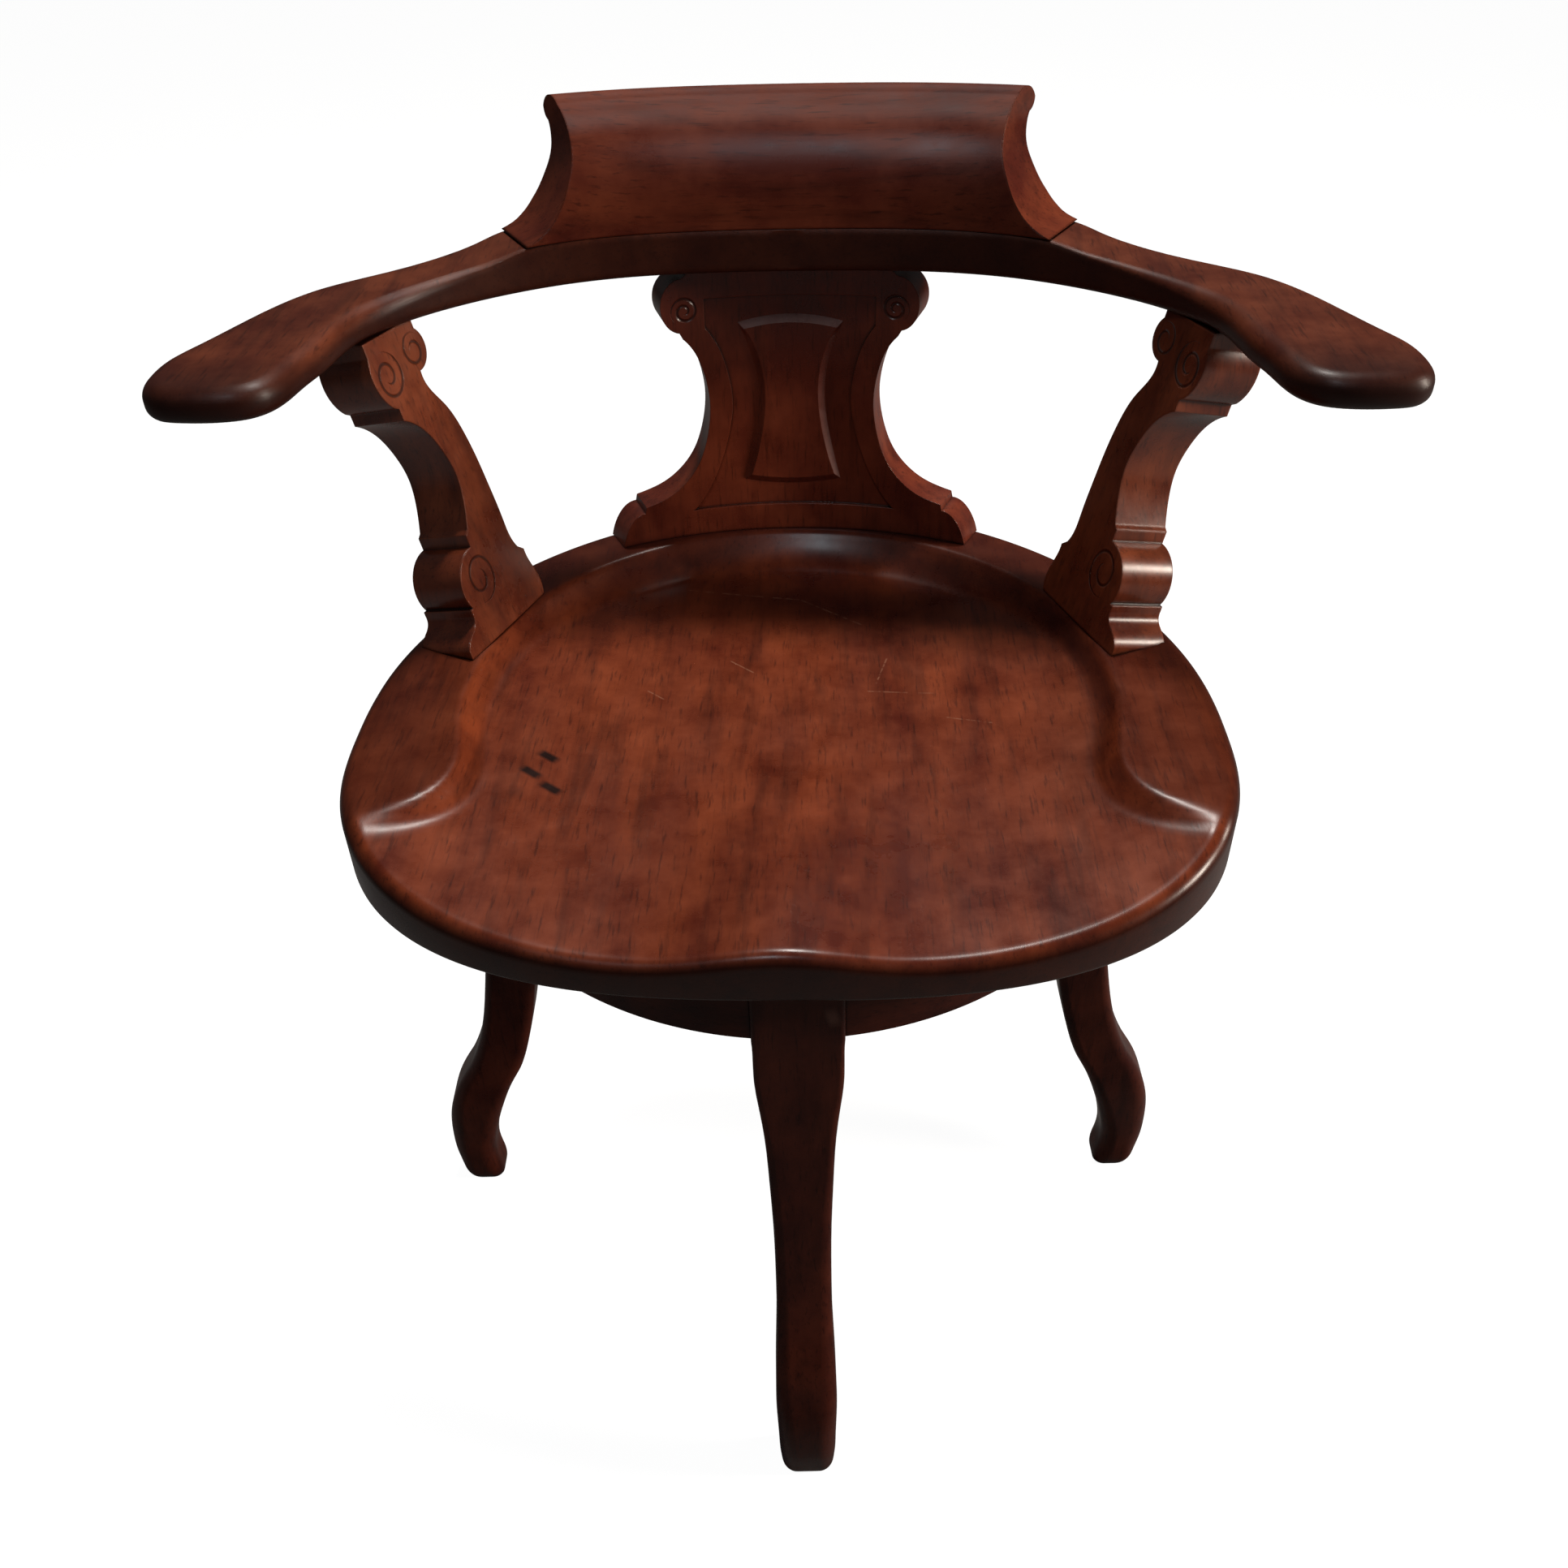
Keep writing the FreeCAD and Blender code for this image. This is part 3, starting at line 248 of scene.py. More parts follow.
def most(m, values):
    """The largest of several values."""
    total = values[0]
    for value in values[1:]:
        total = m.math("MAXIMUM", total, value)
    return total


# Woods and metals. Textures are scale, detail, roughness and, for some, distortion

FIGURE = (90, 4, 0.6, 0.3)
PORES = (520, 3, 0.6)
FIBRE = (500, 3, 0.6)
BANDS = (38, 3, 0.55)
PATCHES = (6.5, 2, 0.5)
RUST_PATCHES = (60, 5, 0.6)
METAL_SCRATCHES = (700, 2, 0.5)
MOTTLE_DETAIL = (6, 0.62)
SPOTS_SHARE, PATCHES_SHARE, BANDS_SHARE = 0.40, 0.25, 0.35
GRAIN_STRETCH = 0.10
BAND_STRETCH = 0.22
OPEN_GRAIN_STRETCH = 0.06
TONE_MIDDLE = 0.51
RECESS_REACH = 0.010
CORNER_REACH = 0.0025
WIDE_ROUND = 0.004
CARVED_DEPTH = 0.0010
GRAIN_DEPTH = 0.0005
ROUGH_SPREAD = 0.12
DULL_ROUGHNESS = 0.35
COAT_ROUGHNESS = 0.20


def stretched(grain, share):
    """Texture scale that draws a pattern out along the grain."""
    return tuple(share if axis == grain else 1 for axis in "XYZ")


def darker(tone, share):
    """A tone at a share of its brightness."""
    return tuple(share * part for part in tone)


def mahogany(name, tones, grain, seed, mottle, streaks, wear, soft, gloss, shine,
             rough=0.24, contrast=0.18, painted_side_shade=0.0, carving=None, marks_and_painted_light=None, dull=None):
    """French-polished mahogany: mottle, grain, pores, painted shade in corners and recesses, worn
    arrises, soft gloss.
    mottle is the pattern's scale and a small contrast makes it strong; streaks, wear and the side
    shade are shares of dark grain, of pale arrises and of painted shade on upright sides; soft is
    the rounding of the arrises. carving says where the surface is carved, dull where it is dull,
    and the marks where it has marks of use and painted light and shade."""
    dark, middle, light = tones
    m = Nodes(name)
    along = m.mapped(stretched(grain, GRAIN_STRETCH), (seed, seed * 0.7, seed * 0.3))
    spread = m.mapped(offset=(seed, seed, seed))
    spots = m.noise(spread, mottle, *MOTTLE_DETAIL)
    patches = m.noise(spread, *PATCHES)
    figure = m.noise(along, *FIGURE)
    pores = m.noise(along, *PORES)
    bands = m.noise(m.mapped(stretched(grain, BAND_STRETCH)), *BANDS)
    tone = m.math("ADD", m.times(spots, SPOTS_SHARE), m.times(patches, PATCHES_SHARE))
    tone = m.math("ADD", tone, m.times(bands, BANDS_SHARE))
    half = contrast / 2
    colour = m.mix(m.ramp(tone, TONE_MIDDLE - half, TONE_MIDDLE + half), middle, light)
    colour = m.mix(m.ramp(figure, 0.50, 0.30, 0.0, streaks), colour, dark)
    colour = m.mix(m.ramp(pores, 0.56, 0.70, 0.0, 0.55), colour, dark)

    rounded, true_side = m.bevel(soft), m.side()
    recess, corner = m.openness(RECESS_REACH), m.openness(CORNER_REACH)
    on_arris = m.ramp(m.dot(rounded, true_side), 0.985, 0.90, 0.0, wear)
    worn = m.times(on_arris, m.ramp(recess, 0.60, 0.90), m.ramp(spots, 0.35, 0.6, 0.3, 1.0))
    colour = m.mix(worn, colour, light)
    # Painted shade: darker in recesses, and darker still in narrow corners.
    colour = m.mix(m.ramp(recess, 0.72, 0.30, 0.0, 0.8), colour, dark)
    colour = m.mix(m.ramp(corner, 0.88, 0.55, 0.0, 0.85), colour, darker(dark, 0.5))
    # Painted shade: upright sides darker than faces that look up.
    if painted_side_shade:
        upward = m.axes(rounded)[2]
        colour = m.mix(m.ramp(upward, 0.70, 0.10, 0.0, painted_side_shade), colour, dark)

    # A wide rounding would also soften the flush joint in the middle of the bow
    normal = rounded
    if soft > WIDE_ROUND:
        x, _, _ = m.axes()
        seam = m.add("ShaderNodeMix", data_type="VECTOR")
        m.link(m.ramp(m.math("ABSOLUTE", x), soft, 2 * soft), seam.inputs["Factor"])
        m.link(true_side, seam.inputs[4])
        m.link(rounded, seam.inputs[5])
        normal = seam.outputs[1]
    if carving:
        cut = carving(m)
        # The carved lines are painted dark, as shade in their grooves.
        colour = m.mix(m.times(cut, 0.75), colour, darker(dark, 0.45))
        normal = m.bump(m.math("SUBTRACT", 1.0, cut), 0.7, CARVED_DEPTH, normal)
    # Marks of use, and painted light and shade, over the colour.
    if marks_and_painted_light:
        for share, tint in marks_and_painted_light(m):
            colour = m.mix(share, colour, tint)
    roughness = m.ramp(spots, 0.3, 0.7, rough, rough + ROUGH_SPREAD)
    if dull:
        roughness = m.math("ADD", roughness, m.times(dull(m), DULL_ROUGHNESS))
    height = m.math("ADD", m.times(pores, 0.4), figure)
    m.feed(m.shader.inputs["Base Color"], colour)
    m.feed(m.shader.inputs["Roughness"], roughness)
    m.feed(m.shader.inputs["Normal"], m.bump(height, 0.10, GRAIN_DEPTH, normal))
    m.shader.inputs["Specular IOR Level"].default_value = shine
    m.shader.inputs["Coat Weight"].default_value = gloss
    m.shader.inputs["Coat Roughness"].default_value = COAT_ROUGHNESS
    return m.material


def plain_wood(name, tones, grain):
    """Unpolished stained wood with open grain."""
    dark, middle, light = tones
    m = Nodes(name)
    along = m.mapped(stretched(grain, OPEN_GRAIN_STRETCH), (0.3, 0.1, 0.2))
    figure = m.noise(along, *FIGURE)
    fibre = m.noise(along, *FIBRE)
    colour = m.mix(m.ramp(figure, 0.35, 0.65), middle, light)
    colour = m.mix(m.ramp(fibre, 0.55, 0.70, 0.0, 0.6), colour, dark)
    m.feed(m.shader.inputs["Base Color"], colour)
    m.feed(m.shader.inputs["Normal"], m.bump(fibre, 0.25, GRAIN_DEPTH))
    m.shader.inputs["Roughness"].default_value = 0.72
    return m.material


def metal(name, clean, rust, rough, shine):
    """Worn metal with dull patches and fine scratches."""
    m = Nodes(name)
    patches = m.noise(m.mapped(), *RUST_PATCHES)
    scratches = m.noise(m.mapped((1, 0.08, 1)), *METAL_SCRATCHES)
    share = m.ramp(patches, 0.50, 0.68, 0.0, 0.8)
    height = m.math("ADD", patches, m.times(scratches, 0.3))
    m.feed(m.shader.inputs["Base Color"], m.mix(share, clean, rust))
    m.feed(m.shader.inputs["Roughness"], m.ramp(patches, 0.35, 0.7, rough, rough + 0.25))
    m.feed(m.shader.inputs["Metallic"], m.ramp(share, 0.0, 0.8, shine, 0.3 * shine))
    m.feed(m.shader.inputs["Normal"], m.bump(height, 0.2, 0.0004, m.bevel(0.0005)))
    return m.material


# Carving. A scroll has a centre, inner and outer radius, pitch, hand, height to width and start

FACE_FADE = (0.0015, 0.0008)
SIDE_FADE = (0.0016, 0.0010)
SPLAT_RADIUS = 0.265
SPLAT_AXIS_Y = -0.0725
SPLAT_VOLUTE = ((0.0690, 0.6300), 0.0022, 0.0088, 0.0048, -1.0)
SUPPORT_FOOT = (0.1985, 0.0195, 0.470)
SUPPORT_TOE = math.radians(21)
SUPPORT_LEAN = math.radians(14)
SUPPORT_SCROLLS = (((0.0262, 0.1735), 0.0034, 0.0120, 0.0066, 1.0, 1.15, 0.25),
                   ((0.0550, 0.1795), 0.0040, 0.0092, 0.0060, -1.0, 1.05, 0.10),
                   ((0.0350, 0.0400), 0.0048, 0.0140, 0.0078, -1.0, 1.15, 0.35))


def splat_carving(m):
    """A volute on either upper corner of the splat's front."""
    x, y, z = m.axes()
    behind = m.math("SUBTRACT", y, SPLAT_AXIS_Y)
    angle = m.math("ARCTAN2", m.math("ABSOLUTE", x), behind)
    volute = m.spiral(m.times(angle, SPLAT_RADIUS), z, *SPLAT_VOLUTE)
    reach = m.distance(x, behind)
    return m.times(volute, m.ramp(reach, *(SPLAT_RADIUS + fade for fade in FACE_FADE)))


def support_carving(m):
    """Scrolls on the inner side of the arm support: two at its head and one at its foot."""
    toe, lean = SUPPORT_TOE, SUPPORT_LEAN
    outward = (math.cos(toe), math.sin(toe))
    rearward = (-math.sin(toe), math.cos(toe), 0)
    upward = (math.sin(lean) * outward[0], math.sin(lean) * outward[1], math.cos(lean))
    through = (math.cos(lean) * outward[0], math.cos(lean) * outward[1], -math.sin(lean))
    vector = m.mirrored()
    u, v, deep = (m.along(vector, way, SUPPORT_FOOT) for way in (rearward, upward, through))
    scrolls = [m.spiral(u, v, *scroll) for scroll in SUPPORT_SCROLLS]
    return m.times(most(m, scrolls), m.ramp(m.math("ABSOLUTE", deep), *SIDE_FADE))


# Marks of use, and painted light and shade. Each function gives pairs of a share and the tint
# that covers it

BURNT = (0.006, 0.0022, 0.0018)
# Painted shade on the seat's edge, painted shadow and sheen on its rear, painted shade on its
# right wall and on the arm ends.
EDGE_SHADE = (0.012, 0.0026, 0.0018)
REAR_SHADOW_AND_SHEEN = (0.034, 0.0085, 0.0075)
RIGHT_WALL_SHADE = (0.022, 0.0052, 0.0046)
ARM_END_SHADE = (0.016, 0.0040, 0.0030)
SCRATCHED = (0.34, 0.15, 0.09)
# Painted highlight on the splat's raised panel.
PANEL_HIGHLIGHT = (0.30, 0.17, 0.15)
SCUFFED = (0.16, 0.07, 0.05)

BURNS = (((-0.1478, -0.0547), (-0.1337, -0.0647)), ((-0.1558, -0.0702), (-0.1414, -0.0808)),
         ((-0.1425, -0.0839), (-0.1275, -0.0945)))
BURN_WIDTH, BURN_SOFT = 0.0056, 0.0022
STAIN = ((-0.1610, -0.0900), (-0.1470, -0.0985))
STAIN_WIDTH, STAIN_SOFT = 0.0090, 0.0050
SCRATCHES = (((-0.0740, 0.1381), (0.0050, 0.1246)), ((0.0050, 0.1246), (0.0467, 0.0909)),
             ((-0.0398, 0.0481), (-0.0234, 0.0336)), ((0.0480, 0.0120), (0.0900, 0.0080)),
             ((-0.0900, 0.0130), (-0.0780, 0.0030)), ((0.0620, 0.0500), (0.0540, 0.0200)),
             ((0.0950, -0.0180), (0.1230, -0.0260)))
SCRATCH_WIDTH, SCRATCH_SOFT = 0.0008, 0.0007
LEG_SCUFF = ((0.0235, 0.4000), (0.0275, 0.3840))
SCUFF_WIDTH, SCUFF_SOFT = 0.0060, 0.0030


def seat_marks_and_painted_shade(m):
    """Painted shade on the edge and the right wall, painted shadow and sheen on the rear, a
    darker rim, a patchy darker band on the wall below the ridge, burns, a stain and scratches on
    the seat.
    """
    depth, side = m.attribute("depth"), m.attribute("side")
    x, y, _ = m.axes()
    cloud = m.cloud((9, 2, 4), 18)
    rim = m.ramp(depth, 0.004, -0.004)
    under = m.times(m.ramp(depth, 0.002, 0.007), m.ramp(depth, 0.020, 0.010),
                    m.ramp(cloud, 0.42, 0.58))
    # Painted shadow of the back, with a painted sheen, on the rear of the seat.
    rear = m.times(m.ramp(y, 0.060, 0.125), m.ramp(cloud, 0.30, 0.62, 0.55, 1.0))
    # Painted shade on the hollow's wall on the right side.
    wall = m.times(m.ramp(depth, 0.0, 0.004), m.ramp(depth, 0.016, 0.009))
    right = m.times(m.ramp(x, 0.130, 0.175), m.ramp(y, -0.060, -0.020))
    burns = most(m, [m.stroke(*line, BURN_WIDTH, BURN_SOFT) for line in BURNS])
    stain = m.stroke(*STAIN, STAIN_WIDTH, STAIN_SOFT)
    scratches = most(m, [m.stroke(*line, SCRATCH_WIDTH, SCRATCH_SOFT) for line in SCRATCHES])
    broken = m.ramp(m.noise(m.mapped(offset=(4, 4, 4)), 160, 3, 0.6), 0.42, 0.56)
    dark = SEAT_TONES[0]
    # Painted shade on the seat's upright edge.
    return [(m.ramp(side, 0.15, 0.75, 0.0, 0.80), EDGE_SHADE),
            (m.times(rim, 0.45), dark),
            (m.times(under, 0.35), dark),
            (m.times(rear, 0.50), REAR_SHADOW_AND_SHEEN),
            (m.times(wall, right, 0.65), RIGHT_WALL_SHADE),
            (m.times(scratches, broken, 0.60), SCRATCHED),
            (m.times(stain, 0.45), dark),
            (m.times(burns, 0.94), BURNT)]


def splat_painted_highlight(m):
    """Painted highlight on the raised panel's arrises that face up and to the right: the upper
    one and the right one's lower half.
    """
    x, _, z = m.axes()
    facing_right, _, facing_up = m.axes(m.side())
    near = m.times(m.ramp(m.math("ABSOLUTE", x), 0.040, 0.038), m.ramp(z, 0.500, 0.505))
    upper = m.times(m.ramp(facing_up, 0.10, 0.35), m.ramp(z, 0.590, 0.595))
    right = m.times(m.ramp(facing_right, 0.20, 0.45), m.ramp(z, 0.590, 0.530, 0.15, 1.0),
                    m.ramp(x, 0.012, 0.014))
    patchy = m.ramp(m.cloud((5, 5, 5), 60), 0.35, 0.55, 0.5, 1.0)
    return [(m.times(most(m, [upper, right]), patchy, near, 0.70), PANEL_HIGHLIGHT)]


def arm_painted_shade(m):
    """Painted shade: the arm ends darker towards the front."""
    _, y, _ = m.axes()
    end = m.math("ADD", y, m.times(m.cloud((7, 5, 3), 14), 0.03))
    return [(m.ramp(end, 0.010, -0.035, 0.0, 0.65), ARM_END_SHADE)]


def leg_stains(m):
    """Pale scuffs where feet have rubbed the legs."""
    cloud = m.cloud((3, 1, 2), 30, (1, 1, 0.35))
    scuff = m.stroke(*LEG_SCUFF, SCUFF_WIDTH, SCUFF_SOFT, True)
    return [(m.ramp(cloud, 0.58, 0.74, 0.0, 0.35), BASE_TONES[2]),
            (m.times(scuff, m.ramp(cloud, 0.35, 0.55, 0.2, 0.7)), SCUFFED)]


def crest_top(m):
    """Where the polish on the crest's roll is rubbed dull."""
    _, _, z = m.axes()
    return m.ramp(z, 0.738, 0.750)


# Seat board. SEAT_POWER is the exponent of its front outline, HOLLOW_SIDE the plan of the
# hollow's right side, which runs out past the seat's edge

SEAT_TOP = 0.470
SEAT_BOTTOM = 0.428
SEAT_HALF = 0.255
SEAT_MID_Y = -0.042
SEAT_FRONT = 0.191
SEAT_BACK = 0.270
SEAT_POWER = 2.7
TOP_ROUND = 0.008
BOTTOM_ROUND = 0.005
HOLLOW_R = 0.196
HOLLOW_Y = -0.007
HOLLOW_DEEP = 0.020
HOLLOW_RUN = 0.030
SIDE_RUN = 0.014
RIDGE_SOFT = 0.0018
POMMEL = 0.010
POMMEL_WIDE = 0.050
POMMEL_LONG = 0.190
THIGH_RISE = 0.0226
RIM_WIDTH = 0.030
HOLLOW_SIDE = ((0.1965, -0.020), (0.1925, -0.050), (0.187, -0.086), (0.198, -0.114),
               (0.233, -0.1365), (0.300, -0.166))
PAST_FRONT = ((0.3, -0.4), (-0.3, -0.4))


def seat_edge(angle, inset):
    """Point of the seat's outline at an angle about its widest line, moved in by inset."""
    c, s = np.cos(angle), np.sin(angle)
    back = s > 0
    power = np.where(back, 2.0, SEAT_POWER)
    reach_y = np.where(back, SEAT_BACK, SEAT_FRONT) - inset
    across = (np.abs(c) / (SEAT_HALF - inset)) ** power
    along = (np.abs(s) / reach_y) ** power
    r = (across + along) ** (-1 / power)
    return r * c, SEAT_MID_Y + r * s


def smooth_line(points, steps=12):
    """Smooth curve through plan points."""
    p = np.array([points[0]] + list(points) + [points[-1]], float)
    t = np.linspace(0, 1, steps, endpoint=False)[:, None]
    runs = []
    for a, b, c, d in zip(p, p[1:], p[2:], p[3:]):
        runs.append(0.5 * (2 * b + (c - a) * t + (2 * a - 5 * b + 4 * c - d) * t ** 2
                           + (3 * b - a - 3 * c + d) * t ** 3))
    return np.vstack(runs + [p[-1:]])


def hollow_outline():
    """Closed plan outline of the hollow, open towards the front beyond the seat."""
    right = smooth_line(HOLLOW_SIDE)
    turn = np.radians(np.linspace(176, 4, 90))
    back = np.stack([HOLLOW_R * np.cos(turn), HOLLOW_Y + HOLLOW_R * np.sin(turn)], 1)
    left = right[::-1] * (-1, 1)
    return np.vstack([back, right, np.array(PAST_FRONT), left])


def depth_inside(x, y, outline):
    """Signed distance from points to a closed outline, positive inside."""
    best = np.full(x.shape, 9.0)
    inside = np.zeros(x.shape, bool)
    for (ax, ay), (bx, by) in zip(outline, np.roll(outline, -1, 0)):
        ex, ey = bx - ax, by - ay
        t = np.clip(((x - ax) * ex + (y - ay) * ey) / max(ex * ex + ey * ey, 1e-12), 0, 1)
        best = np.minimum(best, np.hypot(x - ax - t * ex, y - ay - t * ey))
        if ay != by:
            inside ^= ((ay > y) != (by > y)) & (x < ax + (y - ay) * ex / ey)
    return np.where(inside, best, -best)


def seat_height(x, y):
    """Height of the seat's top: flat rim, coved wall and saddle-shaped floor with its pommel."""
    forward = np.clip((SEAT_MID_Y - SEAT_FRONT + POMMEL_LONG - y) / POMMEL_LONG, 0, 1)
    fade = forward ** 2 * (3 - 2 * forward)
    floor = (SEAT_TOP - HOLLOW_DEEP + POMMEL * fade * np.exp(-(x / POMMEL_WIDE) ** 2)
             + THIGH_RISE * (np.abs(x) / SEAT_HALF) ** 3)
    d = depth_inside(x, y, hollow_outline())
    backward = np.clip(y / HOLLOW_R, 0, 1)
    t = np.clip(d / (SIDE_RUN + (HOLLOW_RUN - SIDE_RUN) * backward), -1, 1)
    share = np.where(t > 0, 1 - (1 - t) ** 2, 2 * t)
    gap = (SEAT_TOP - floor) * share
    return SEAT_TOP - 0.5 * (gap + np.sqrt(gap ** 2 + RIDGE_SOFT ** 2))


def ring_faces(rings, count):
    """Quads between closed rings of count points each, with a face over either end."""
    faces = []
    for r in range(rings - 1):
        for i in range(count):
            j = (i + 1) % count
            faces.append((r * count + i, r * count + j, (r + 1) * count + j, (r + 1) * count + i))
    faces.append(tuple(reversed(range(count))))
    faces.append(tuple((rings - 1) * count + i for i in range(count)))
    return faces


def seat_rings(count):
    """Rings of points from the seat's underside over its edge to the middle of its top,
    and for each ring how far it belongs to the edge."""
    angle = np.linspace(0, 2 * math.pi, count, endpoint=False)
    rings, sides = [], []
    for a in np.radians(np.linspace(0, 90, 7)):
        x, y = seat_edge(angle, BOTTOM_ROUND * (1 - math.sin(a)))
        z = np.full(count, SEAT_BOTTOM + BOTTOM_ROUND * (1 - math.cos(a)))
        rings.append(np.stack([x, y, z], 1))
        sides.append(1.0)
    crown = seat_height(*seat_edge(angle, TOP_ROUND))
    for a in np.linspace(0, 90, 10):
        x, y = seat_edge(angle, TOP_ROUND * (1 - math.cos(math.radians(a))))
        z = crown - TOP_ROUND * (1 - math.sin(math.radians(a)))
        rings.append(np.stack([x, y, z], 1))
        sides.append(1 - a / 90)
    for inset in np.arange(0.010, RIM_WIDTH + 0.0001, 0.002):
        x, y = seat_edge(angle, inset)
        rings.append(np.stack([x, y, seat_height(x, y)], 1))
    rim_x, rim_y = seat_edge(angle, RIM_WIDTH)
    for share in np.linspace(1, 0.02, 110)[1:]:
        x, y = rim_x * share, SEAT_MID_Y + (rim_y - SEAT_MID_Y) * share
        rings.append(np.stack([x, y, seat_height(x, y)], 1))
    return rings, sides + [0.0] * (len(rings) - len(sides))


def seat_board(material):
    """The seat as one closed surface, with the values depth and side for its material."""
    count = 360
    rings, sides = seat_rings(count)
    points = np.vstack(rings)
    mesh = bpy.data.meshes.new("seat_board_carved")
    mesh.from_pydata([tuple(v) for v in points], [], ring_faces(len(rings), count))
    mesh.validate()
    mesh.update()
    mesh.shade_smooth()
    mesh.materials.append(material)
    piece = bpy.data.objects.new("seat_board_carved", mesh)
    bpy.context.scene.collection.objects.link(piece)
    depths = depth_inside(points[:, 0], points[:, 1], hollow_outline())
    for name, values in (("depth", depths), ("side", np.repeat(sides, count))):
        layer = mesh.attributes.new(name, "FLOAT", "POINT")
        layer.data.foreach_set("value", values.astype(np.float32))
    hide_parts("seat_board")
    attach(piece, "seat")


# Pieces that follow the solids but for a small change of form

CREST_CENTRE_Y = -0.007
CREST_INNER_RADIUS = 0.236
CREST_DEPTH = 0.026
CREST_STILL_HALF = 0.080
CREST_SIDE_RUN = 0.090
CREST_FOOT = 0.690
CREST_RISE = 0.045
CREST_FOOT_TOP = 0.702
CREST_FOOT_RUN = 0.014
CREST_PULL_IN = 0.0028
CREST_SPREAD_LEFT, CREST_REAR_LEFT = 0.0036, 0.0040
CREST_SPREAD_RIGHT, CREST_REAR_RIGHT = 0.0050, 0.0065
LEG_BEND_HEIGHT = 0.130
LEG_REACH_LEFT = -0.010
LEG_REACH_RIGHT = 0.006


def reshaped(node, name, material, move):
    """A piece in place of one of the part's own: a copy of it whose points a function moves."""
    source = frame["nodes"][node]
    mesh = source.data.copy()
    points = np.empty(3 * len(mesh.vertices), np.float32)
    mesh.vertices.foreach_get("co", points)
    points = points.reshape(-1, 3)
    mesh.vertices.foreach_set("co", (points + move(*points.T)).astype(np.float32).ravel())
    mesh.update()
    mesh.materials.clear()
    mesh.materials.append(material)
    piece = bpy.data.objects.new(name, mesh)
    bpy.context.scene.collection.objects.link(piece)
    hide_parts(node)
    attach(piece, "base" if node.startswith("leg") else "seat")


def crest_move(x, y, z):
    """Draws the crest's ends outwards towards the top, most at the rear and on the right,
    and inwards at the foot."""
    high = np.clip((z - CREST_FOOT) / CREST_RISE, 0, 1) ** 0.8
    far = np.clip((np.abs(x) - CREST_STILL_HALF) / CREST_SIDE_RUN, 0, 1) ** 2
    reach = np.hypot(x, y - CREST_CENTRE_Y)
    rear = np.clip((reach - CREST_INNER_RADIUS) / CREST_DEPTH, 0, 1)
    spread = np.where(x > 0, CREST_SPREAD_RIGHT + CREST_REAR_RIGHT * rear,
                      CREST_SPREAD_LEFT + CREST_REAR_LEFT * rear)
    low = np.clip((CREST_FOOT_TOP - z) / CREST_FOOT_RUN, 0, 1)
    shift = np.sign(x) * (spread * high - CREST_PULL_IN * low) * far
    return np.stack([shift, 0 * x, 0 * x], 1)


def leg_move(reach):
    """Sets a side leg's foot a little further out."""
    def move(x, y, z):
        low = np.clip(1 - z / LEG_BEND_HEIGHT, 0, 1)
        return np.stack([reach * low, 0 * x, 0 * x], 1)
    return move


# Stage, light and camera

LIT_POINT = Vector((0, 0, 0.5))
AMBIENT = 0.045
FLOOR_SIZE = 30
FLOOR_GREY = 0.22
FLOOR_GLOW = 0.96


def area_light(name, direction, distance, size, power, colour):
    """Round soft lamp that shines from a direction on the middle of the chair."""
    data = bpy.data.lights.new(name, "AREA")
    data.shape = "DISK"
    data.size = size
    data.energy = power
    data.color = colour
    lamp = bpy.data.objects.new(name, data)
    way = Vector(direction).normalized()
    lamp.location = LIT_POINT + way * distance
    lamp.rotation_euler = way.to_track_quat("Z", "Y").to_euler()
    bpy.context.scene.collection.objects.link(lamp)


def world():
    """Dim even light, seen as white."""
    scene_world = bpy.data.worlds.new("studio")
    bpy.context.scene.world = scene_world
    scene_world.use_nodes = True
    tree = scene_world.node_tree
    background = tree.nodes["Background"]
    path = tree.nodes.new("ShaderNodeLightPath")
    strength = tree.nodes.new("ShaderNodeMapRange")
    strength.inputs["To Min"].default_value = AMBIENT
    strength.inputs["To Max"].default_value = 1.0
    tree.links.new(path.outputs["Is Camera Ray"], strength.inputs["Value"])
    tree.links.new(strength.outputs[0], background.inputs["Strength"])
    background.inputs["Color"].default_value = (1, 1, 1, 1)


def floor():
    """Grey floor, seen as white but for the shadow."""
    bpy.ops.mesh.primitive_plane_add(size=FLOOR_SIZE, location=(0, 0, 0))
    plane = bpy.context.object
    plane.name = "studio_floor"
    m = Nodes("studio_floor")
    m.shader.inputs["Base Color"].default_value = (FLOOR_GREY, FLOOR_GREY, FLOOR_GREY, 1)
    m.shader.inputs["Roughness"].default_value = 0.9
    m.shader.inputs["Specular IOR Level"].default_value = 0.2
    m.shader.inputs["Emission Color"].default_value = (1, 1, 1, 1)
    seen = m.add("ShaderNodeLightPath").outputs["Is Camera Ray"]
    m.feed(m.shader.inputs["Emission Strength"], m.ramp(seen, 0, 1, 0, FLOOR_GLOW))
    plane.data.materials.append(m.material)


def camera():
    """Camera at the photograph's place, turned by its yaw, pitch and roll."""
    data = bpy.data.cameras.new("camera")
    data.sensor_width = 36.0
    data.lens = CAMERA_LENS
    data.clip_end = 50
    yaw, pitch, roll = (math.radians(a) for a in (CAMERA_YAW, CAMERA_PITCH, CAMERA_ROLL))
    level = math.cos(pitch)
    forward = Vector((math.sin(yaw) * level, math.cos(yaw) * level, -math.sin(pitch)))
    right = Vector((math.cos(yaw), -math.sin(yaw), 0))
    up = right.cross(forward)
    side = math.cos(roll) * right + math.sin(roll) * up
    top = math.cos(roll) * up - math.sin(roll) * right
    item = bpy.data.objects.new("camera", data)
    turn = Matrix((side, top, -forward)).transposed().to_4x4()
    item.matrix_world = Matrix.Translation(CAMERA_PLACE) @ turn
    bpy.context.scene.collection.objects.link(item)
    bpy.context.scene.camera = item


# Which piece wears what

bpy.context.scene.view_settings.view_transform = "Standard"

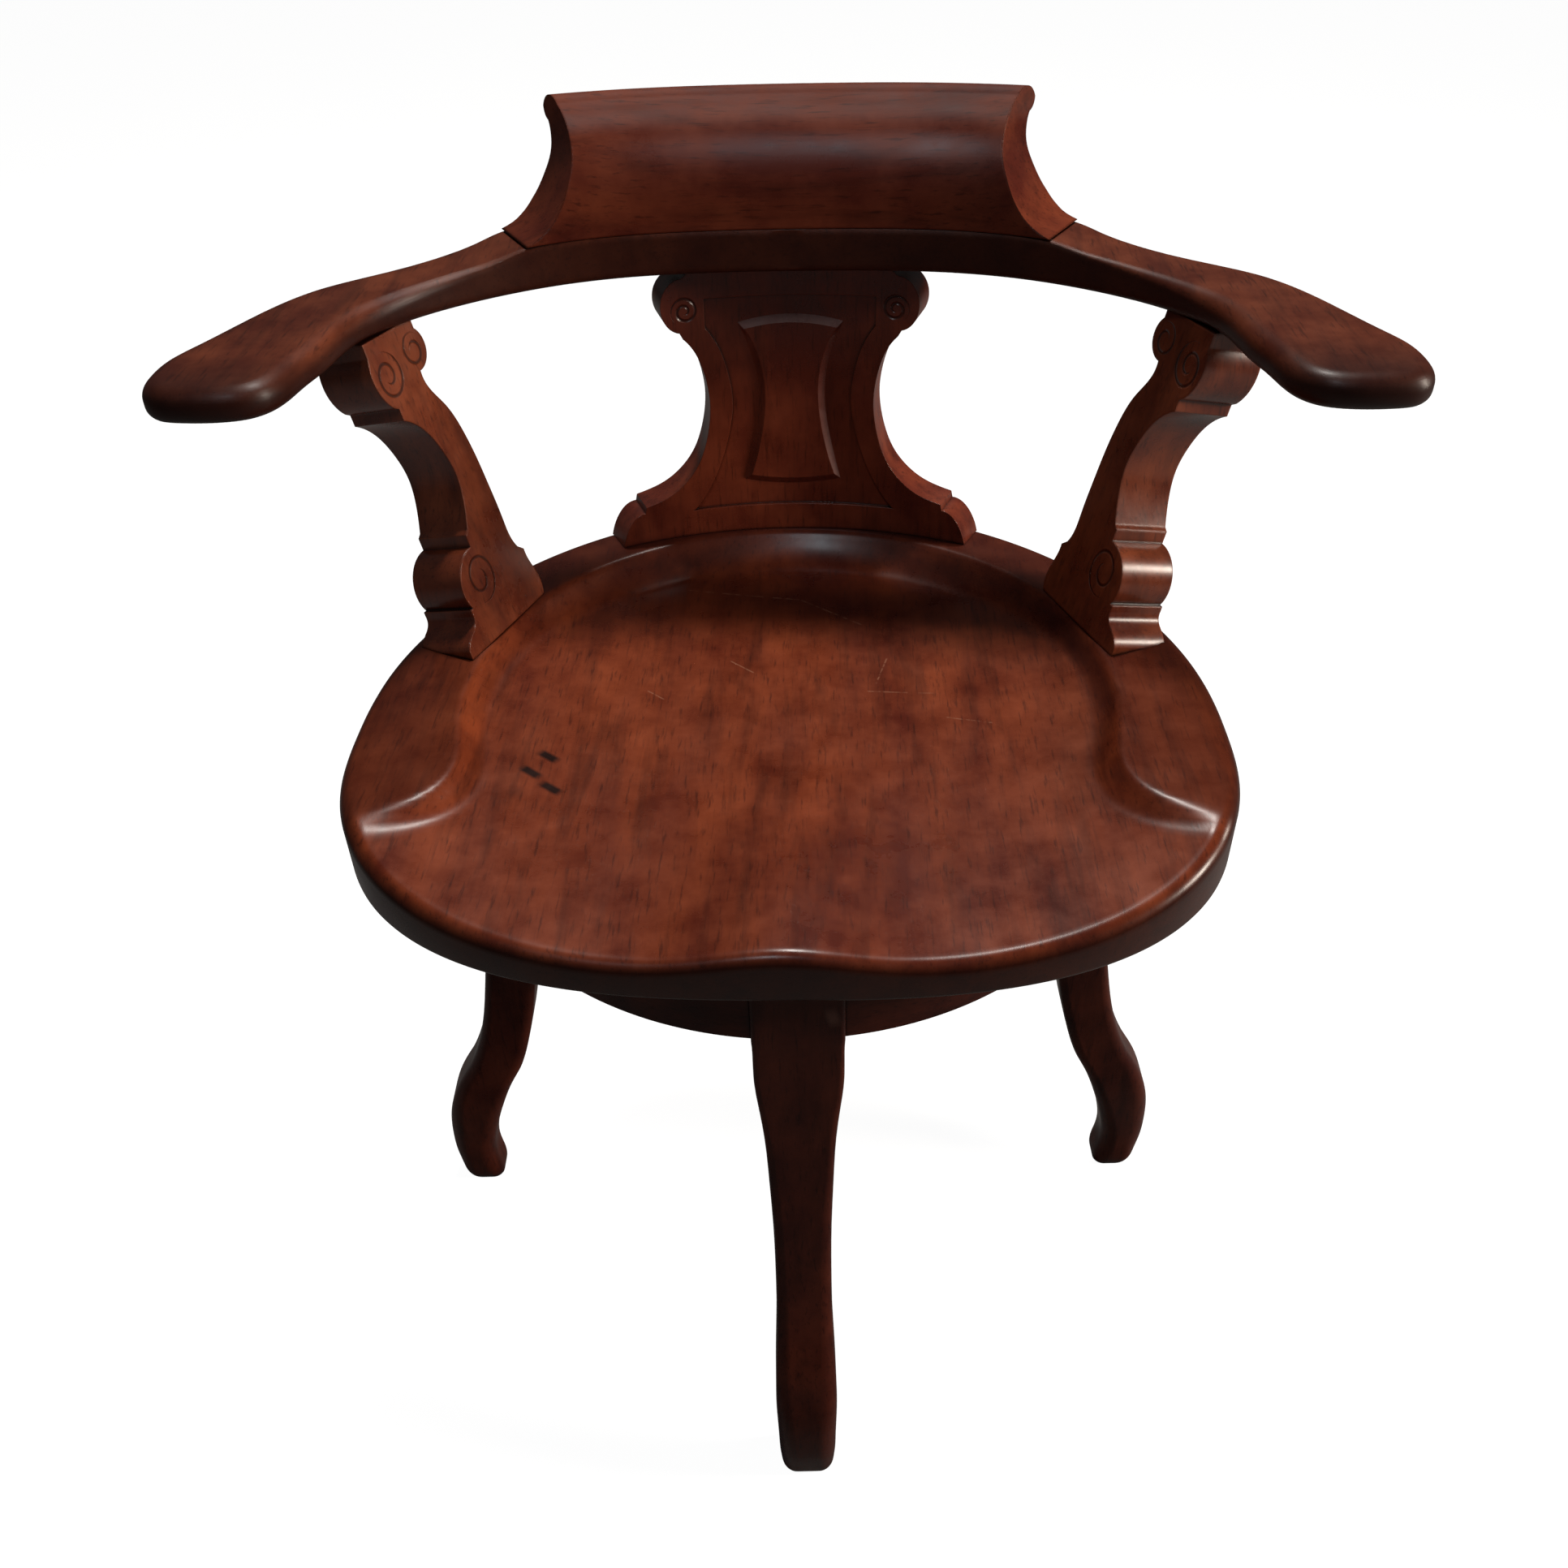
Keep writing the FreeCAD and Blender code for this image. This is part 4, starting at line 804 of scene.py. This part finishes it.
seat_wood = mahogany("seat_wood", SEAT_TONES, grain="Y", seed=1.0, mottle=34, streaks=0.45,
                     wear=0.25, soft=0.0008, gloss=0.04, shine=0.28, contrast=0.26,
                     marks_and_painted_light=seat_marks_and_painted_shade)
arm_wood = mahogany("arm_wood", ARM_TONES, grain="Y", seed=4.0, mottle=30, streaks=0.40,
                    wear=0.0, soft=0.0060, gloss=0.04, shine=0.26, rough=0.32, painted_side_shade=0.75,
                    marks_and_painted_light=arm_painted_shade)
crest_wood = mahogany("crest_wood", BACK_TONES, grain="X", seed=3.0, mottle=30, streaks=0.40,
                      wear=0.30, soft=0.0020, gloss=0.0, shine=0.22, dull=crest_top)
splat_wood = mahogany("splat_wood", SPLAT_TONES, grain="Z", seed=2.0, mottle=34, streaks=0.45,
                      wear=0.85, soft=0.0009, gloss=0.14, shine=0.60,
                      carving=splat_carving, marks_and_painted_light=splat_painted_highlight)
support_wood = mahogany("support_wood", SUPPORT_TONES, grain="Z", seed=5.0, mottle=34,
                        streaks=0.40, wear=0.95, soft=0.0020, gloss=0.16, shine=0.55,
                        carving=support_carving)
leg_wood = mahogany("leg_wood", BASE_TONES, grain="Z", seed=6.0, mottle=30, streaks=0.45,
                    wear=0.45, soft=0.0018, gloss=0.0, shine=0.12, marks_and_painted_light=leg_stains)
apron_wood = mahogany("apron_wood", BASE_TONES, grain="X", seed=7.0, mottle=30, streaks=0.45,
                      wear=0.30, soft=0.0012, gloss=0.0, shine=0.12)
rail_wood_x = plain_wood("rail_wood_x", HIDDEN_TONES, "X")
rail_wood_y = plain_wood("rail_wood_y", HIDDEN_TONES, "Y")
dowel_wood = plain_wood("dowel_wood", DOWEL_TONES, "X")
steel = metal("steel", clean=(0.30, 0.29, 0.28), rust=(0.09, 0.045, 0.025),
              rough=0.35, shine=1.0)
iron = metal("iron", clean=(0.050, 0.045, 0.042), rust=(0.070, 0.035, 0.020),
             rough=0.50, shine=0.7)
turned_steel = metal("turned_steel", clean=(0.34, 0.33, 0.32), rust=(0.16, 0.13, 0.10),
                     rough=0.28, shine=1.0)
bronze = metal("bronze", clean=(0.42, 0.26, 0.10), rust=(0.20, 0.12, 0.05),
               rough=0.38, shine=1.0)

WEAR = {
    arm_wood: ("arm_left", "arm_right"),
    crest_wood: ("crest_rail", "crest_screw_plugs"),
    splat_wood: ("back_splat",),
    support_wood: ("arm_support_left", "arm_support_right"),
    leg_wood: ("leg_front", "leg_left", "leg_right", "leg_rear"),
    apron_wood: ("apron_front_left", "apron_front_right", "apron_rear_left", "apron_rear_right"),
    rail_wood_x: ("cross_rail_lower",),
    rail_wood_y: ("cross_rail_upper",),
    dowel_wood: ("apron_dowels", "bow_dowels", "support_head_dowels"),
    steel: ("cross_rail_screws", "socket_plate_screws", "crest_screws", "support_screws",
            "seat_plate_screws", "split_pin"),
    iron: ("socket_plate", "seat_plate", "spindle_nut", "spindle_washer"),
    turned_steel: ("spindle",),
    bronze: ("thrust_ring",),
    seat_wood: ("seat_board",),
}
for material, names in WEAR.items():
    for name in names:
        node = frame["nodes"][name]
        node.data.materials.clear()
        node.data.materials.append(material)

seat_board(seat_wood)
reshaped("crest_rail", "crest_swept", crest_wood, crest_move)
reshaped("leg_left", "leg_left_shaped", leg_wood, leg_move(LEG_REACH_LEFT))
reshaped("leg_right", "leg_right_shaped", leg_wood, leg_move(LEG_REACH_RIGHT))

area_light("ceiling", direction=(0.06, 0.35, 0.93), distance=2.8, size=0.45, power=50,
           colour=(1.0, 0.95, 0.90))
area_light("window", direction=(-0.12, -0.50, 0.86), distance=2.8, size=0.5, power=9,
           colour=(0.86, 0.93, 1.0))
area_light("side_lamp", direction=(0.95, -0.12, 0.32), distance=2.6, size=0.6, power=52,
           colour=(1.0, 0.88, 0.76))
world()
floor()
camera()
